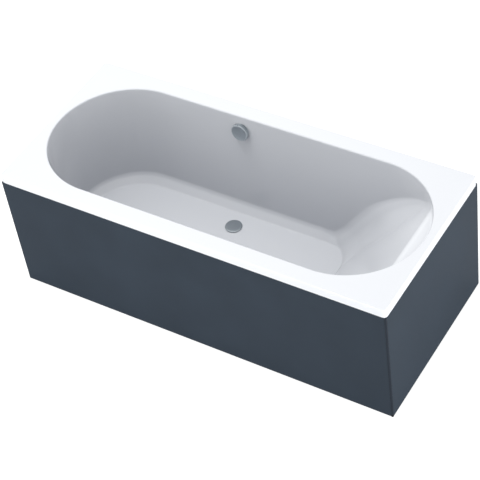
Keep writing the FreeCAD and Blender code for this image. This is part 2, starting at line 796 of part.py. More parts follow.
def corner_profile():
    """A dark extrusion on the corner: a rounded head, a slanted web and a leg behind each panel."""
    low = "panel_floor_gap + profile_foot"
    right = "(tub_length / 2)"
    front = "(-tub_width / 2)"
    head = extruded("profile_head", [
        (right + " - profile_face", front), (right, front), (right, front + " + profile_face"),
        (right + " - profile_face", front + " + profile_face")], low, PANEL_TOP)
    x_edge = size("tub_length") / 2
    y_edge = -size("tub_width") / 2
    near = size("fit_gap")
    rounded(head, "profile_round", lambda p: abs(p.x - x_edge) + abs(p.y - y_edge) < near)
    inner_x = right + " - panel_thick - running_gap"
    inner_y = front + " + panel_thick + running_gap"
    web = extruded("profile_web", [
        (right + " - profile_face", front + " + profile_face - 2 * profile_wall"),
        (right + " - profile_face + 2 * profile_wall", front + " + profile_face"),
        (inner_x, inner_y + " + 2 * profile_wall"), (inner_x + " - 2 * profile_wall", inner_y)],
        low, PANEL_TOP)
    leg_x = box((inner_x + " - profile_leg", inner_x), (inner_y, inner_y + " + profile_wall"),
                (low, PANEL_TOP))
    leg_y = box((inner_x + " - profile_wall", inner_x), (inner_y, inner_y + " + profile_leg"),
                (low, PANEL_TOP))
    finish(fuse(head, web, leg_x, leg_y), "corner_profile")
    foot_block = extruded("profile_foot_block", [
        (right + " - profile_face", front), (right, front), (right, front + " + profile_face"),
        (right + " - profile_face", front + " + profile_face")], "0", low)
    rounded(foot_block, "profile_round", lambda p: abs(p.x - x_edge) + abs(p.y - y_edge) < near)
    finish(foot_block, "corner_foot")


def hook_rail(name, side, along):
    """A wood strip behind a panel's top, grooved for the clips."""
    rail = side_box(side, along, ("panel_thick", "panel_thick + hook_rail_thick"),
                    (HOOK_TOP + " - hook_rail_high", HOOK_TOP))
    inset = "(panel_thick + groove_setback)"
    groove = side_box(side, (along[0] + " - overrun", along[1] + " + overrun"),
                      (inset, inset + " + groove_wide"),
                      (HOOK_TOP + " - groove_deep", HOOK_TOP + " + overrun"))
    finish(cut(rail, groove), name)


def clip(side, at):
    """A spring steel angle screwed under the rim, its leg down in the rail's groove."""
    along = (at + " - clip_wide / 2", at + " + clip_wide / 2")
    leg = "(panel_thick + groove_setback + groove_wide / 2 - clip_thick / 2)"
    tab = side_box(side, along, (leg, "batten_setback + batten_wide"),
                   (BATTEN_UNDER + " - clip_thick", BATTEN_UNDER))
    hook = side_box(side, along, (leg, leg + " + clip_thick"),
                    (HOOK_TOP + " - groove_deep + clip_thick", BATTEN_UNDER))
    return fuse(tab, hook)


def front_clip_screws():
    return [("%r * " % share + BATTEN_HALF, "-tub_width / 2 + " + CLIP_SCREW_INSET,
             BATTEN_UNDER + " - clip_thick") for share in CLIP_SHARES]


def end_clip_screw(way):
    return ("tub_length / 2 - " + CLIP_SCREW_INSET, way + BLOCK_Y, BATTEN_UNDER + " - clip_thick")


def clips():
    """The clips of both panels, each with its screw up into the batten or block."""
    screws = front_clip_screws() + [end_clip_screw(way) for way in ("", "-")]
    front = [clip("front", "%r * " % share + BATTEN_HALF) for share in CLIP_SHARES]
    ends = [clip("right", way + BLOCK_Y) for way in ("", "-")]
    bored = []
    for tongue, (x, y, z) in zip(front + ends, screws):
        bored.append(cut(tongue, rod("screw_radius + fit_gap", "2 * overrun", x, y, z + " - overrun")))
    finish(group(*bored[:len(front)]), "panel_clips_front")
    finish(group(*bored[len(front):]), "panel_clips_end")
    finish(group(*[upward_screw(*place) for place in screws]), "clip_screws")


def between(ends, share):
    """A place on a stretch: -1 at its start, 1 at its end."""
    low, high = ends
    return "(((%s) + (%s)) / 2 + %r * ((%s) - (%s)) / 2)" % (low, high, share, high, low)


def floor_cleats():
    """Wood battens on the floor behind the panels, with the magnets that hold the panels."""
    near = "(panel_thick + strike_thick + magnet_thick)"
    magnets = []
    strikes = []
    for side, ends, name, shares in (("front", FRONT_CLEAT, "front_cleat", CLIP_SHARES),
                                     ("right", END_CLEAT, "end_cleat", END_MAGNET_SHARES)):
        cleat = side_box(side, ends, (near, near + " + cleat_thick"), ("0", "cleat_high"))
        middle = "(panel_thick + strike_thick + magnet_thick + cleat_thick / 2)"
        for share in CLEAT_HOLE_SHARES:
            at = between(ends, share)
            x, y = (at, "-tub_width / 2 + " + middle) if side == "front" else (
                "tub_length / 2 - " + middle, at)
            cleat = cut(cleat, rod("cleat_hole", "cleat_high + 2 * overrun", x, y, "-overrun"))
        finish(cleat, name)
        for share in shares:
            at = between(ends, share)
            along = (at + " - magnet_wide / 2", at + " + magnet_wide / 2")
            z = ("cleat_high / 2 - magnet_high / 2", "cleat_high / 2 + magnet_high / 2")
            strikes.append(side_box(side, along, ("panel_thick", "panel_thick + strike_thick"), z))
            magnets.append(side_box(side, along, ("panel_thick + strike_thick", near), z))
    finish(group(*magnets), "panel_magnets")
    finish(group(*strikes), "strike_plates")


def anchor(side, at):
    """A steel angle screwed to the wall; the bath's lip sits in its hook."""
    along = (at + " - anchor_wide / 2", at + " + anchor_wide / 2")
    inner = "(acrylic + running_gap)"
    leg = side_box(side, along, ("0", "anchor_thick"), (LIP_BOTTOM + " - anchor_drop", LIP_BOTTOM))
    shelf = side_box(side, along, ("0", inner + " + anchor_thick"),
                     (LIP_BOTTOM + " - anchor_thick", LIP_BOTTOM))
    hook = side_box(side, along, (inner, inner + " + anchor_thick"),
                    (LIP_BOTTOM + " - anchor_thick", LIP_BOTTOM + " + anchor_hook"))
    z = LIP_BOTTOM + " - anchor_hole_drop"
    if side == "back":
        hole = rod("anchor_hole", "2 * overrun", at, "tub_width / 2 - overrun", z, "y")
    else:
        hole = rod("anchor_hole", "2 * overrun", "-tub_length / 2 - overrun", at, z, "x")
    return cut(fuse(leg, shelf, hook), hole)


def wall_anchors():
    """Three hooks on the wall behind and two on the left wall."""
    finish(group(*[anchor("back", "%r * " % share + BATTEN_HALF) for share in BACK_ANCHOR_SHARES]),
           "wall_anchors_back")
    finish(group(*[anchor("left", "%r * " % share + OPENING_HALF) for share in LEFT_ANCHOR_SHARES]),
           "wall_anchors_left")


def at_drain(obj, name):
    """Seat a piece turned about the drain's axis, its zero at the tub's underside."""
    return finish(put(obj, DRAIN_X, DRAIN_Y, UNDERSIDE), name)


def spider(reach, thick, hub, low):
    """Two crossed bars with a hub, to carry a guide in the middle of a sleeve."""
    half = thick + " / 2"
    return [box(("-(%s)" % reach, reach), ("-" + half, half), (low, "%s + %s" % (low, thick))),
            box(("-" + half, half), ("-(%s)" % reach, reach), (low, "%s + %s" % (low, thick))),
            rod(hub, thick, z=low)]


def waste_fitting():
    """The flanged sleeve through the drain hole, with its spider and its two seals."""
    inside = "(waste_sleeve - waste_sleeve_wall)"
    ring = turned("waste_ring", [
        (inside, "-waste_sleeve_long"), ("waste_sleeve", "-waste_sleeve_long"),
        ("waste_sleeve", WASTE_TOP), ("waste_flange", WASTE_TOP), ("waste_flange", WASTE_CROWN),
        ("seat_top", WASTE_CROWN), (inside, WASTE_CROWN + " - seat_depth")])
    bars = spider(inside + " + waste_sleeve_wall / 2", "spider_thick", "spider_hub", "-spider_drop")
    guide = rod("stem_radius + fit_gap", "2 * overrun", z="-overrun")
    at_drain(cut(fuse(ring, *bars), guide), "waste_flange")
    at_drain(turned("top_seal", [
        ("waste_sleeve + fit_gap", "acrylic"), ("waste_flange - waste_flange_thick", "acrylic"),
        ("waste_flange - waste_flange_thick", WASTE_TOP), ("waste_sleeve + fit_gap", WASTE_TOP)]),
        "waste_seal_top")
    at_drain(turned("under_seal", [
        ("waste_sleeve + fit_gap", "-body_seal_thick"), ("body_seal", "-body_seal_thick"),
        ("body_seal", "0"), ("waste_sleeve + fit_gap", "0")]), "waste_seal_under")
    waste_body()


def waste_body():
    """The cup under the floor: a side inlet for the overflow, a tail below, a boss for the cable."""
    face = "(-body_seal_thick)"
    inner = "(body_radius - body_wall)"
    neck = "(waste_sleeve + fit_gap)"
    cup = turned("waste_cup", [
        (neck, face), ("body_flange", face), ("body_flange", face + " - body_flange_thick"),
        ("body_radius", face + " - body_flange_thick"), ("body_radius", "-body_depth"),
        ("tail_radius", "-body_depth"), ("tail_radius", "-body_depth - tail_long"),
        ("tail_radius - pipe_wall", "-body_depth - tail_long"),
        ("tail_radius - pipe_wall", "-body_depth + pipe_wall"), (inner, "-body_depth + pipe_wall"),
        (inner, "-body_neck_depth"), (neck, "-body_neck_depth")])
    stub = rod("stub_radius", "stub_reach - body_radius + body_wall", "0", inner, "-stub_depth", "y")
    boss = rod("cable_boss", "cable_boss_reach - body_radius + body_wall", inner, "0", "-cable_depth", "x")
    inlet = rod("stub_radius - body_wall", "stub_reach", "0", "tail_radius - pipe_wall", "-stub_depth", "y")
    seat = rod("ferrule_radius + fit_gap", "overrun", "cable_boss_reach - cable_seat", "0",
               "-cable_depth", "x")
    wire = rod("cable_radius / 2", "overrun", "body_radius - 2 * body_wall", "0", "-cable_depth", "x")
    pin = rod("lever_pin + fit_gap", "lever_pin_long", "lever_arm", "-lever_pin_long / 2",
              LEVER_Z, "y")
    at_drain(cut(fuse(cup, stub, boss), inlet, seat, wire, pin), "waste_body")


def plug():
    """The lifting cap over the drain, the seal under it and the stem that carries it."""
    low = PLUG_UNDER
    high = low + " + plug_thick"
    cap = turned("cap", [
        ("0", low), ("plug_radius", low), ("plug_radius", high + " - 2 * plug_crown"),
        ("plug_radius - plug_crown", high + " - plug_crown"), ("plug_seal", high + " - plug_crown / 4"),
        ("0", high)])
    at_drain(cap, "plug_cap")
    at_drain(turned("plug_ring", [
        ("plug_seal_bore", low + " - plug_seal_thick"), ("plug_seal", low + " - plug_seal_thick"),
        ("plug_seal", low), ("plug_seal_bore", low)]), "plug_seal")
    finish(rod("stem_radius", "stem_long", DRAIN_X, DRAIN_Y, UNDERSIDE + " + " + STEM_BOTTOM), "plug_stem")


def lift_lever():
    """A rocking arm under the stem, and the pin that it turns on."""
    arm = box(("0", "lever_arm"), ("-lever_wide / 2", "lever_wide / 2"),
              (LEVER_Z + " - lever_thick / 2", LEVER_Z + " + lever_thick / 2"))
    tip = rod("lever_thick / 2", "lever_wide", "0", "-lever_wide / 2", LEVER_Z, "y")
    hub = rod("lever_hub", "lever_wide", "lever_arm", "-lever_wide / 2", LEVER_Z, "y")
    bore = rod("lever_pin + fit_gap", "lever_pin_long", "lever_arm", "-lever_pin_long / 2",
               LEVER_Z, "y")
    at_drain(cut(fuse(arm, tip, hub), bore), "lift_lever")
    finish(rod("lever_pin", "lever_pin_long", DRAIN_X + " + lever_arm", DRAIN_Y + " - lever_pin_long / 2",
               UNDERSIDE + " + " + LEVER_Z, "y"), "lever_pin")


def at_overflow(obj, name):
    """Seat a piece on the overflow's axis, its zero at the wall's inner face, +Z into the basin."""
    obj.Placement = overflow_place()
    return finish(obj, name)


def overflow_fitting():
    """The ring on the wall, its sleeve and spider, and the seal behind the wall."""
    inside = "(face_sleeve - face_sleeve_wall)"
    ring = turned("face_ring", [
        (inside, "-face_sleeve_long"), ("face_sleeve", "-face_sleeve_long"), ("face_sleeve", "0"),
        ("face_radius", "0"), ("face_radius", "face_thick / 2"),
        ("face_radius - face_thick / 2", "face_thick"), (inside, "face_thick")])
    bars = spider(inside + " + face_sleeve_wall / 2", "face_thick", "face_hub", "-face_sleeve_long")
    bore = rod("shaft_radius + fit_gap", "2 * overrun", z="-overrun")
    at_overflow(cut(fuse(ring, *bars), bore), "overflow_face")
    behind = "(-acrylic - 2 * fit_gap)"
    back = behind + " - overflow_seal_thick"
    at_overflow(turned("wall_seal", [
        ("face_sleeve + running_gap", back), ("overflow_seal", back), ("overflow_seal", behind),
        ("face_sleeve + running_gap", behind)]), "overflow_seal")
    overflow_housing(back)


def overflow_housing(back):
    """The cup behind the wall, with its nozzle down to the pipe and a seat for the cable."""
    inner = "(housing_radius - housing_wall)"
    neck = "(face_sleeve + fit_gap)"
    cup = turned("housing_cup", [
        (neck, back), ("housing_flange", back), ("housing_flange", back + " - housing_flange_thick"),
        ("housing_radius", back + " - housing_flange_thick"), ("housing_radius", "-housing_deep"),
        ("0", "-housing_deep"), ("0", "-housing_deep + housing_wall"),
        (inner, "-housing_deep + housing_wall"), (inner, "-face_sleeve_long - fit_gap"),
        (neck, "-face_sleeve_long - fit_gap")])
    nozzle = rod("hose_radius", "nozzle_reach - housing_radius + housing_wall", "0", "-" + inner,
                 NOZZLE_Z, "-y")
    bore = rod("hose_radius - hose_wall", "nozzle_reach", "0", "-cam_radius", NOZZLE_Z, "-y")
    boss = rod("cable_boss", "housing_radius", CABLE_X, "0", NOZZLE_Z, "-y")
    seat = rod("ferrule_radius + fit_gap", "cable_seat + overrun", CABLE_X,
               "-housing_radius + cable_seat", NOZZLE_Z, "-y")
    wire = rod("cable_radius / 2", "housing_radius", CABLE_X, "-cable_radius", NOZZLE_Z, "-y")
    hollow = rod(inner, "housing_deep - housing_wall - face_sleeve_long - fit_gap",
                 z="-housing_deep + housing_wall")
    at_overflow(cut(fuse(cup, nozzle, cut(boss, hollow)), bore, seat, wire), "overflow_housing")


def overflow_knob():
    """The turning cap, the shaft through the spider and the cam that pulls the cable."""
    low = "(face_thick + knob_stand)"
    high = low + " + knob_high"
    shaft_top = low + " + knob_high - knob_wall"
    bore = "(shaft_radius + fit_gap)"
    cap = turned("knob_cap", [
        ("0", high), ("knob_radius", high + " - knob_wall / 2"), ("knob_radius", low),
        ("knob_radius - knob_wall", low), ("knob_radius - knob_wall", high + " - knob_wall - knob_round"),
        ("knob_radius - knob_wall - knob_round", high + " - 2 * knob_wall"),
        ("knob_hub", high + " - 2 * knob_wall"), ("knob_hub", low), (bore, low), (bore, shaft_top),
        ("0", shaft_top)])
    top = size("face_thick") + size("knob_stand") + size("knob_high") - size("knob_wall") / 2
    near = size("fit_gap")
    rounded(cap, "knob_round", lambda p: abs(p.z - top) < near)
    at_overflow(cap, "overflow_knob")
    at_overflow(group(rod("shaft_radius", "shaft_long + %s" % shaft_top, z="-shaft_long")), "knob_shaft")
    cam = rod("cam_radius", "cam_thick", z="-shaft_long + running_gap")
    at_overflow(cut(cam, rod("shaft_radius + fit_gap", "2 * overrun", z="-overrun")), "cable_cam")


def drain_point(x, y, z):
    return spot("%s + %s" % (DRAIN_X, x), "%s + %s" % (DRAIN_Y, y), "%s + %s" % (UNDERSIDE, z))


def overflow_pipe():
    """From the housing's nozzle down behind the wall, then forward to the waste body."""
    place = overflow_place()
    start = place.multVec(spot("0", "-nozzle_reach", NOZZLE_Z))
    end = drain_point("0", "stub_reach", "-stub_depth")
    down = place.Rotation.multVec(Vector(0, -1, 0))
    corner = start + down * ((end.z - start.z) / down.z)
    finish(pipe("pipe", [start, corner, end], size("hose_bend"), size("hose_radius"),
                size("hose_radius") - size("hose_wall")), "overflow_pipe")
    union = rod("union_radius", "union_long", "0", "-nozzle_reach + union_long / 2", NOZZLE_Z, "-y")
    bore = rod("hose_radius + fit_gap", "union_long + 2 * overrun", "0", "overrun", NOZZLE_Z, "-y")
    at_overflow(cut(union, bore), "pipe_union_top")
    stub_bore = rod("hose_radius + fit_gap", "union_long", "0", "stub_reach", "-stub_depth", "y")
    stub_seat = rod("stub_radius + fit_gap", "union_long", "0", "stub_reach - union_long",
                    "-stub_depth", "y")
    nut = rod("union_radius", "union_long", "0", "stub_reach - union_long / 2", "-stub_depth", "y")
    at_drain(cut(nut, stub_bore, stub_seat), "pipe_union_bottom")


def pull_cable():
    """The sheathed wire from the overflow to the waste, clipped in its two seats."""
    place = overflow_place()
    seat = spot(CABLE_X, "-housing_radius + cable_seat / 2", NOZZLE_Z)
    start = place.multVec(seat)
    down = place.Rotation.multVec(Vector(0, -1, 0))
    end = drain_point("cable_boss_reach - cable_seat / 2", "0", "-cable_depth")
    side = Vector(size("cable_side"), 0, 0)
    bow = Vector(size("cable_bow"), 0, 0)
    drop = start.z - end.z
    points = [start, start + down * (drop * CABLE_DROP_SHARES[0]),
              start + down * (drop * CABLE_DROP_SHARES[1]) + side, start + down * drop + bow / 2,
              end + bow + Vector(0, size("cable_sweep"), 0), end + side, end]
    finish(pipe("cable", points, size("cable_bend"), size("cable_radius")), "pull_cable")
    return points


def trap():
    """A low cup with a dipping inlet, its outlet to the left and a cleaning boss to the right."""
    join = "(-body_depth - tail_long)"
    lid = "(-body_depth - tail_long - trap_neck_long - running_gap)"
    inside = "(tail_radius - pipe_wall)"
    wall = "(cup_radius - cup_wall)"
    cup = turned("trap_cup", [
        ("tail_radius", join + " - running_gap"), ("tail_radius", lid), ("cup_radius", lid),
        ("cup_radius", lid + " - cup_high"), ("0", lid + " - cup_high"),
        ("0", lid + " - cup_high + cup_wall"), (wall, lid + " - cup_high + cup_wall"),
        (wall, lid + " - cup_wall"), ("tail_radius", lid + " - cup_wall"),
        ("tail_radius", lid + " - dip_long"), (inside, lid + " - dip_long"),
        (inside, join + " - running_gap")])
    level = "(%s - cup_high + outlet_rise)" % lid
    spout = rod("outlet_radius", "outlet_reach - " + wall, "-" + wall, "0", level, "-x")
    spout_bore = rod("outlet_radius - pipe_wall", "outlet_reach", "-tail_radius - cup_wall", "0",
                     level, "-x")
    boss = rod("clean_boss", "clean_reach - " + wall, wall, "0", level, "x")
    boss_bore = rod("clean_plug", "overrun", "tail_radius + cup_wall", "0", level, "x")
    at_drain(cut(fuse(cup, spout, boss), spout_bore, boss_bore), "trap_body")
    plug_bar = rod("clean_plug - fit_gap", "clean_reach - cup_radius", "cup_radius", "0", level, "x")
    head = hexagon("2 * clean_plug", "clean_head", "clean_reach", "0", level, "x")
    at_drain(fuse(plug_bar, head), "cleaning_plug")
    nut = hexagon("2 * trap_nut", "trap_nut_high", "0", "0", lid + " + running_gap")
    nut_bore = rod("tail_radius + fit_gap", "2 * overrun", z=lid + " - overrun")
    at_drain(cut(nut, nut_bore), "trap_nut")
    outlet(level)


def outlet(level):
    """The elbow that swings on the trap's outlet, and the nut that holds it."""
    nut = hexagon("2 * trap_nut", "trap_nut_high", "-outlet_reach + trap_nut_high / 2", "0", level, "-x")
    bore = rod("outlet_radius + fit_gap", "2 * overrun", "-outlet_reach + overrun", "0", level, "-x")
    at_drain(cut(nut, bore), "outlet_nut")
    start = drain_point("(-outlet_reach - running_gap)", "0", level)
    corner = drain_point("(-outlet_reach - running_gap - elbow_start - elbow_bend)", "0", level)
    end = drain_point("(-outlet_reach - running_gap - elbow_start - elbow_bend)",
                      "elbow_bend + elbow_leg", level)
    finish(pipe("elbow", [start, corner, end], size("elbow_bend"), size("outlet_radius"),
                size("outlet_radius") - size("pipe_wall")), "outlet_elbow")


def ferrules(points):
    """A sleeve on each end of the cable's sheath."""
    made = []
    for end, inner in ((points[0], points[1]), (points[-1], points[-2])):
        way = (inner - end).normalize()
        back = end - way * (size("cable_seat") / 2)
        outer = Part.makeCylinder(size("ferrule_radius"), size("ferrule_long"), back, way)
        bore = Part.makeCylinder(size("cable_radius") + size("fit_gap"), size("ferrule_long"), end, way)
        wire = Part.makeCylinder(size("cable_radius") / 2, size("ferrule_long"), back, way)
        made.append(outer.cut(bore).cut(wire))
    feature = doc.addObject("Part::Feature", "sleeves")
    feature.Shape = Part.makeCompound(made)
    feature.Placement = Placement()
    finish(feature, "cable_ferrules")


def build():
    fill_sheet()
    tub_shell()
    base_board()
    rim_battens()
    leg_rail("leg_rail_left", RAIL_LEFT)
    leg_rail("leg_rail_right", RAIL_RIGHT)
    centre_foot_plate()
    frame_fasteners()
    feet()
    front_panel()
    end_panel()
    corner_profile()
    hook_rail("front_hook_rail", "front", FRONT_HOOK_RAIL)
    hook_rail("end_hook_rail", "right", END_HOOK_RAIL)
    clips()
    floor_cleats()
    wall_anchors()
    waste_fitting()
    plug()
    lift_lever()
    overflow_fitting()
    overflow_knob()
    overflow_pipe()
    ferrules(pull_cable())
    trap()
    doc.recompute()


def check():
    """Stop unless every object computed and every piece is whole."""
    failed = ["%s (%s)" % (obj.Name, obj.Label) for obj in doc.Objects
              if "Invalid" in obj.State or "Error" in obj.State]
    if failed:
        raise RuntimeError("failed to compute: " + ", ".join(failed))
    for piece in PIECES:
        if piece.Shape.isNull() or not piece.Shape.isValid() or not piece.Shape.Solids:
            raise RuntimeError("%s has no valid shape" % piece.Label)


def write():
    os.makedirs("parts", exist_ok=True)
    for piece in PIECES:
        piece.Shape.exportStep("parts/%s.step" % piece.Label)
        print("%-20s %2d solids %12.1f mm3" % (piece.Label, len(piece.Shape.Solids), piece.Shape.Volume))
    print(len(PIECES), "pieces")


build()
check()
write()
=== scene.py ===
"""The looks of a panelled bath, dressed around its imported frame.

Lengths are in metres, in the frame's own axes: +X towards the backrest end, +Y towards the wall
behind, +Z up. A shape is a patch: an array of points and a list of faces, worked out on a grid.
"""

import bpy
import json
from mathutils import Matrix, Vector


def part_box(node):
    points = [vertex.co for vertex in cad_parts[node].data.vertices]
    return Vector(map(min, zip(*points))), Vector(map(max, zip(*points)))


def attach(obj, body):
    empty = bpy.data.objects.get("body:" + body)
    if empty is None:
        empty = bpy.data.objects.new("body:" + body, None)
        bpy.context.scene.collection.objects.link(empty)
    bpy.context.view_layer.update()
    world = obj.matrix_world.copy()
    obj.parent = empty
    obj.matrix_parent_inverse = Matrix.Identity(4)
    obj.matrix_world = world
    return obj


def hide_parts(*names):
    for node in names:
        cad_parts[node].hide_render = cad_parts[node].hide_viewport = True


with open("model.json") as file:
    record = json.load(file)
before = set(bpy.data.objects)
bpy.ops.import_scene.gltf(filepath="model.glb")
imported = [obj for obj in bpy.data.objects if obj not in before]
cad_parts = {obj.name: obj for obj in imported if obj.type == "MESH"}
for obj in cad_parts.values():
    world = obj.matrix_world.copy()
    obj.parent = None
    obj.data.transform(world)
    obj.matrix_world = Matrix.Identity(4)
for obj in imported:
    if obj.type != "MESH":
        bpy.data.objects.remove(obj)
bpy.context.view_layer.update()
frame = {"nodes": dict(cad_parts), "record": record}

import json
import math
import bmesh
import bpy
import numpy as np
from mathutils import Matrix, Vector

# the shell's sizes, as the frame has them
SHELL_LOW, SHELL_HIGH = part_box("tub_shell")
HALF_LENGTH = SHELL_HIGH.x
HALF_WIDTH = SHELL_HIGH.y
RIM_TOP = SHELL_HIGH.z
WALL = 0.005
LIP = 0.038
CORNER_ROUND = 0.014
LIP_ROUND = 0.003
RIM_ROUND = 0.006
OPENING_HALF = 0.306
END_RIM = 0.033
FLOOR = 0.120
FLOOR_HALF = 0.252
FOOT_INSET = 0.020
LEDGE_DEPTH = 0.051
LEDGE_DROP = 0.020
BACKREST_RUN = 0.404
VALLEY_RISE = 0.106
VALLEY_TURN = math.radians(23)
VALLEY_EDGES = (0.009, 0.056)
VALLEY_TOP = 0.11
VALLEY_FADE = (0.330, 0.550)
VALLEY_FLARE = 0.27
FLARE_HEIGHT = 0.090
COVE_RISE = 0.035
COVE_TURN = math.radians(39.6)
COVE_EDGES = (0.008, 0.004)
CREASE_SHARE = 0.10
CREASE_TURN = 0.130
CREASE_OFF = -0.085
LEDGE_ROUND = 0.012
RISER_LEAN = math.radians(30)
RISER_SHIFT = 0.003
NOSE_ROUND = 0.003
DRAIN_PLACE = Vector((-0.145, 0.144, FLOOR - WALL))
DRAIN_HOLE = 0.026
OVERFLOW_DROP = 0.068
OVERFLOW_HOLE = 0.024
NOZZLE_DEPTH = -0.027
STUB_REACH = 0.052
STUB_DROP = 0.026
PAD_RIB_TURN = math.radians(45)

# how finely the shell is sampled
SIDE_COLUMNS = 40
END_COLUMNS = 96
CORNER_COLUMNS = 10
CREASE_COLUMNS = 18
CREASE_SPAN = (-0.008, 0.026)
VALLEY_COLUMNS = 26
DENSE_RAYS = 700
BASIN_RINGS = 112
LIP_RINGS = 5
EYE_HEIGHT = 0.10
HALVINGS = 36
FLAT_STEP = 0.020
TURN_STEP = 0.13

# how pieces are smoothed, merged and eased
SHARP_ANGLE = math.radians(38)
FLAT_ANGLE = math.radians(0.5)
BEVEL_ANGLE = math.radians(50)
MERGE = 1e-6
TINY = 1e-5
AROUND = 96
ROUND_STEPS = 6
BEND_STEPS = 14
PANEL_EDGE = 0.0007
FACE_EDGE = 0.0005

# the small pieces' sizes; HOSE and ELBOW are a radius, a bore and a bend, FOOT_ROD and SCREW_BAR
# a radius, a thread's depth and its pitch, SCREW_HEAD a radius and a height
FLUTES = 40
FLUTE_INNER = 0.0335
FLUTE_FADE = 0.0025
FLUTE_DEPTH = 0.0022
NOTCH_ANGLE = math.radians(104)
NOTCH_SPREAD = math.radians(13)
NOTCH_DEPTH = 0.0034
NUT_CHAMFER = math.radians(30)
NUT_CONE = 0.97
SLIP_NUT = 0.054
LOCK_NUT = 0.019
LOCK_NUT_BORE = 0.0063
HOSE = (0.013, 0.011, 0.050)
ELBOW = (0.019, 0.016, 0.030)
UNION_RADIUS = 0.0175
UNION_LENGTH = 0.022
HOSE_FIT = 0.01305
STUB_FIT = 0.01505
FOOT_ROD = (0.006, 0.0009, 0.00175)
SCREW_HEAD = (0.0045, 0.0025)
SCREW_BAR = (0.002, 0.0006, 0.0014)

# colours that several materials share
DUST_COLOUR = (0.42, 0.40, 0.37, 1)
GLUE_COLOUR = (0.16, 0.10, 0.05, 1)
FIBRE_COLOUR = (0.62, 0.61, 0.52, 1)
# painted shade: the colour that bounced light finds, which darkens and blues the basin's walls
BOUNCE_SHADE_COLOUR = (0, 0.015, 0.06, 1)
PINE = ((0.62, 0.43, 0.23), (0.42, 0.25, 0.11))
CHIP = ((0.5, 0.36, 0.18), (0.25, 0.15, 0.06))

# the stage; a lamp's row is its name, place, target, power, size and whether gloss mirrors it
AMBIENT = 0.87
FLOOR_GLOW = 0.75
FLOOR_REACH = 9
FLOOR_DROP = 0.0004
LAMPS = (("key", (-0.8, -0.05, 4.5), (0, 0, 0.4), 62, 1.5, False),
         ("front", (-0.6, -4.0, 0.34), (0, 0, 0.34), 75, 0.6, True),
         ("right", (4.2, -0.3, 0.34), (0, 0, 0.34), 96, 0.6, True))
CAMERA_ANGLES = (37.30, 45.14, -9.17)
CAMERA_PLACE = (2.78308, -3.67213, 4.87189)
CAMERA_LENS = 122.85


def round_min(a, b, radius):
    """The lesser of two depths, rounded where both are under the radius.

    There it is the radius less the distance from the point (radius, radius) in the plane of
    the two depths, so two square faces meet in a true arc.
    """
    near = np.hypot(np.maximum(radius - a, 0), np.maximum(radius - b, 0))
    return np.maximum(radius, np.minimum(a, b)) - near


def ease(share):
    """A share from 0 to 1 that starts and ends level: 3 s^2 - 2 s^3."""
    share = np.clip(share, 0, 1)
    return share * share * (3 - 2 * share)


def banded(a, b, rise, turn, edges, share):
    """The depth where two faces meet in a flat band, with a rounded edge at either side of it.

    The band leaves the first face at the turn, at the rise over the second face. Its own depth
    is the first depth times the turn's cosine plus the second, less the rise, times its sine.
    The rise and both edges are scaled by the share.
    """
    band = a * math.cos(turn) + (b - rise * share) * math.sin(turn)
    return round_min(round_min(a, band, edges[0] * share), b, edges[1] * share)


def basin_depth(x, y, z):
    """How deep a point lies in the basin's air; below zero it is in the wall.

    The wall's depth is the half width at that height less the distance from a spine segment,
    and the half width and the spine's ends run straight from floor to rim. The backrest is a
    plane, joined to the flat ledge over it by a rounded crest. Between wall and backrest lies a
    band, turned a little from the wall, that ends in a wide round. It flares at the floor and
    narrows at the ledge. The backrest's foot is a steeper riser under a soft nose. A narrower
    band leads from the wall to the floor and dies out towards the riser, and the rim's inner
    edge is rounded off. Other joints are a round_min.
    """
    rise = (z - FLOOR) / (RIM_TOP - FLOOR)
    half = FLOOR_HALF + (OPENING_HALF - FLOOR_HALF) * rise
    left = -HALF_LENGTH + END_RIM + FOOT_INSET * (1 - rise) + half
    right = HALF_LENGTH - END_RIM - half
    lean = math.hypot(1, (OPENING_HALF - FLOOR_HALF) / (RIM_TOP - FLOOR))
    wall = (half - np.hypot(x - np.clip(x, left, right), y)) / lean
    ledge = RIM_TOP - LEDGE_DROP
    crest = HALF_LENGTH - END_RIM - LEDGE_DEPTH
    foot = crest - BACKREST_RUN
    slope = (BACKREST_RUN + RISER_SHIFT) / (ledge - FLOOR)
    back = (crest + slope * (z - ledge) - x) / math.hypot(1, slope)
    riser = (foot - x) * math.cos(RISER_LEAN) + (z - FLOOR) * math.sin(RISER_LEAN)
    back = -round_min(-back, -riser, NOSE_ROUND)
    end = -round_min(-back, ledge - z, LEDGE_ROUND)
    fade = ease((z - VALLEY_FADE[0]) / (VALLEY_FADE[1] - VALLEY_FADE[0]))
    share = 1 + (VALLEY_TOP - 1) * fade + VALLEY_FLARE * (1 - ease((z - FLOOR) / FLARE_HEIGHT))
    basin = banded(wall, end, VALLEY_RISE, VALLEY_TURN, VALLEY_EDGES, share)
    share = 1 - (1 - CREASE_SHARE) * ease((wall - end - CREASE_OFF) / CREASE_TURN + 0.5)
    basin = banded(basin, z - FLOOR, COVE_RISE, COVE_TURN, COVE_EDGES, share)
    return -round_min(-basin, RIM_TOP - z, RIM_ROUND)


def rim_depth(x, y):
    """How far a plan point lies inside the rim's outer edge, whose corners are rounded."""
    return round_min(HALF_LENGTH - np.abs(x), HALF_WIDTH - np.abs(y), CORNER_ROUND)


def halved(depth, far):
    """The distance along each ray at which a depth falls to zero, found by halving."""
    near = np.zeros_like(far)
    for _ in range(HALVINGS):
        middle = (near + far) / 2
        inside = depth(middle) > 0
        near = np.where(inside, middle, near)
        far = np.where(inside, far, middle)
    return (near + far) / 2


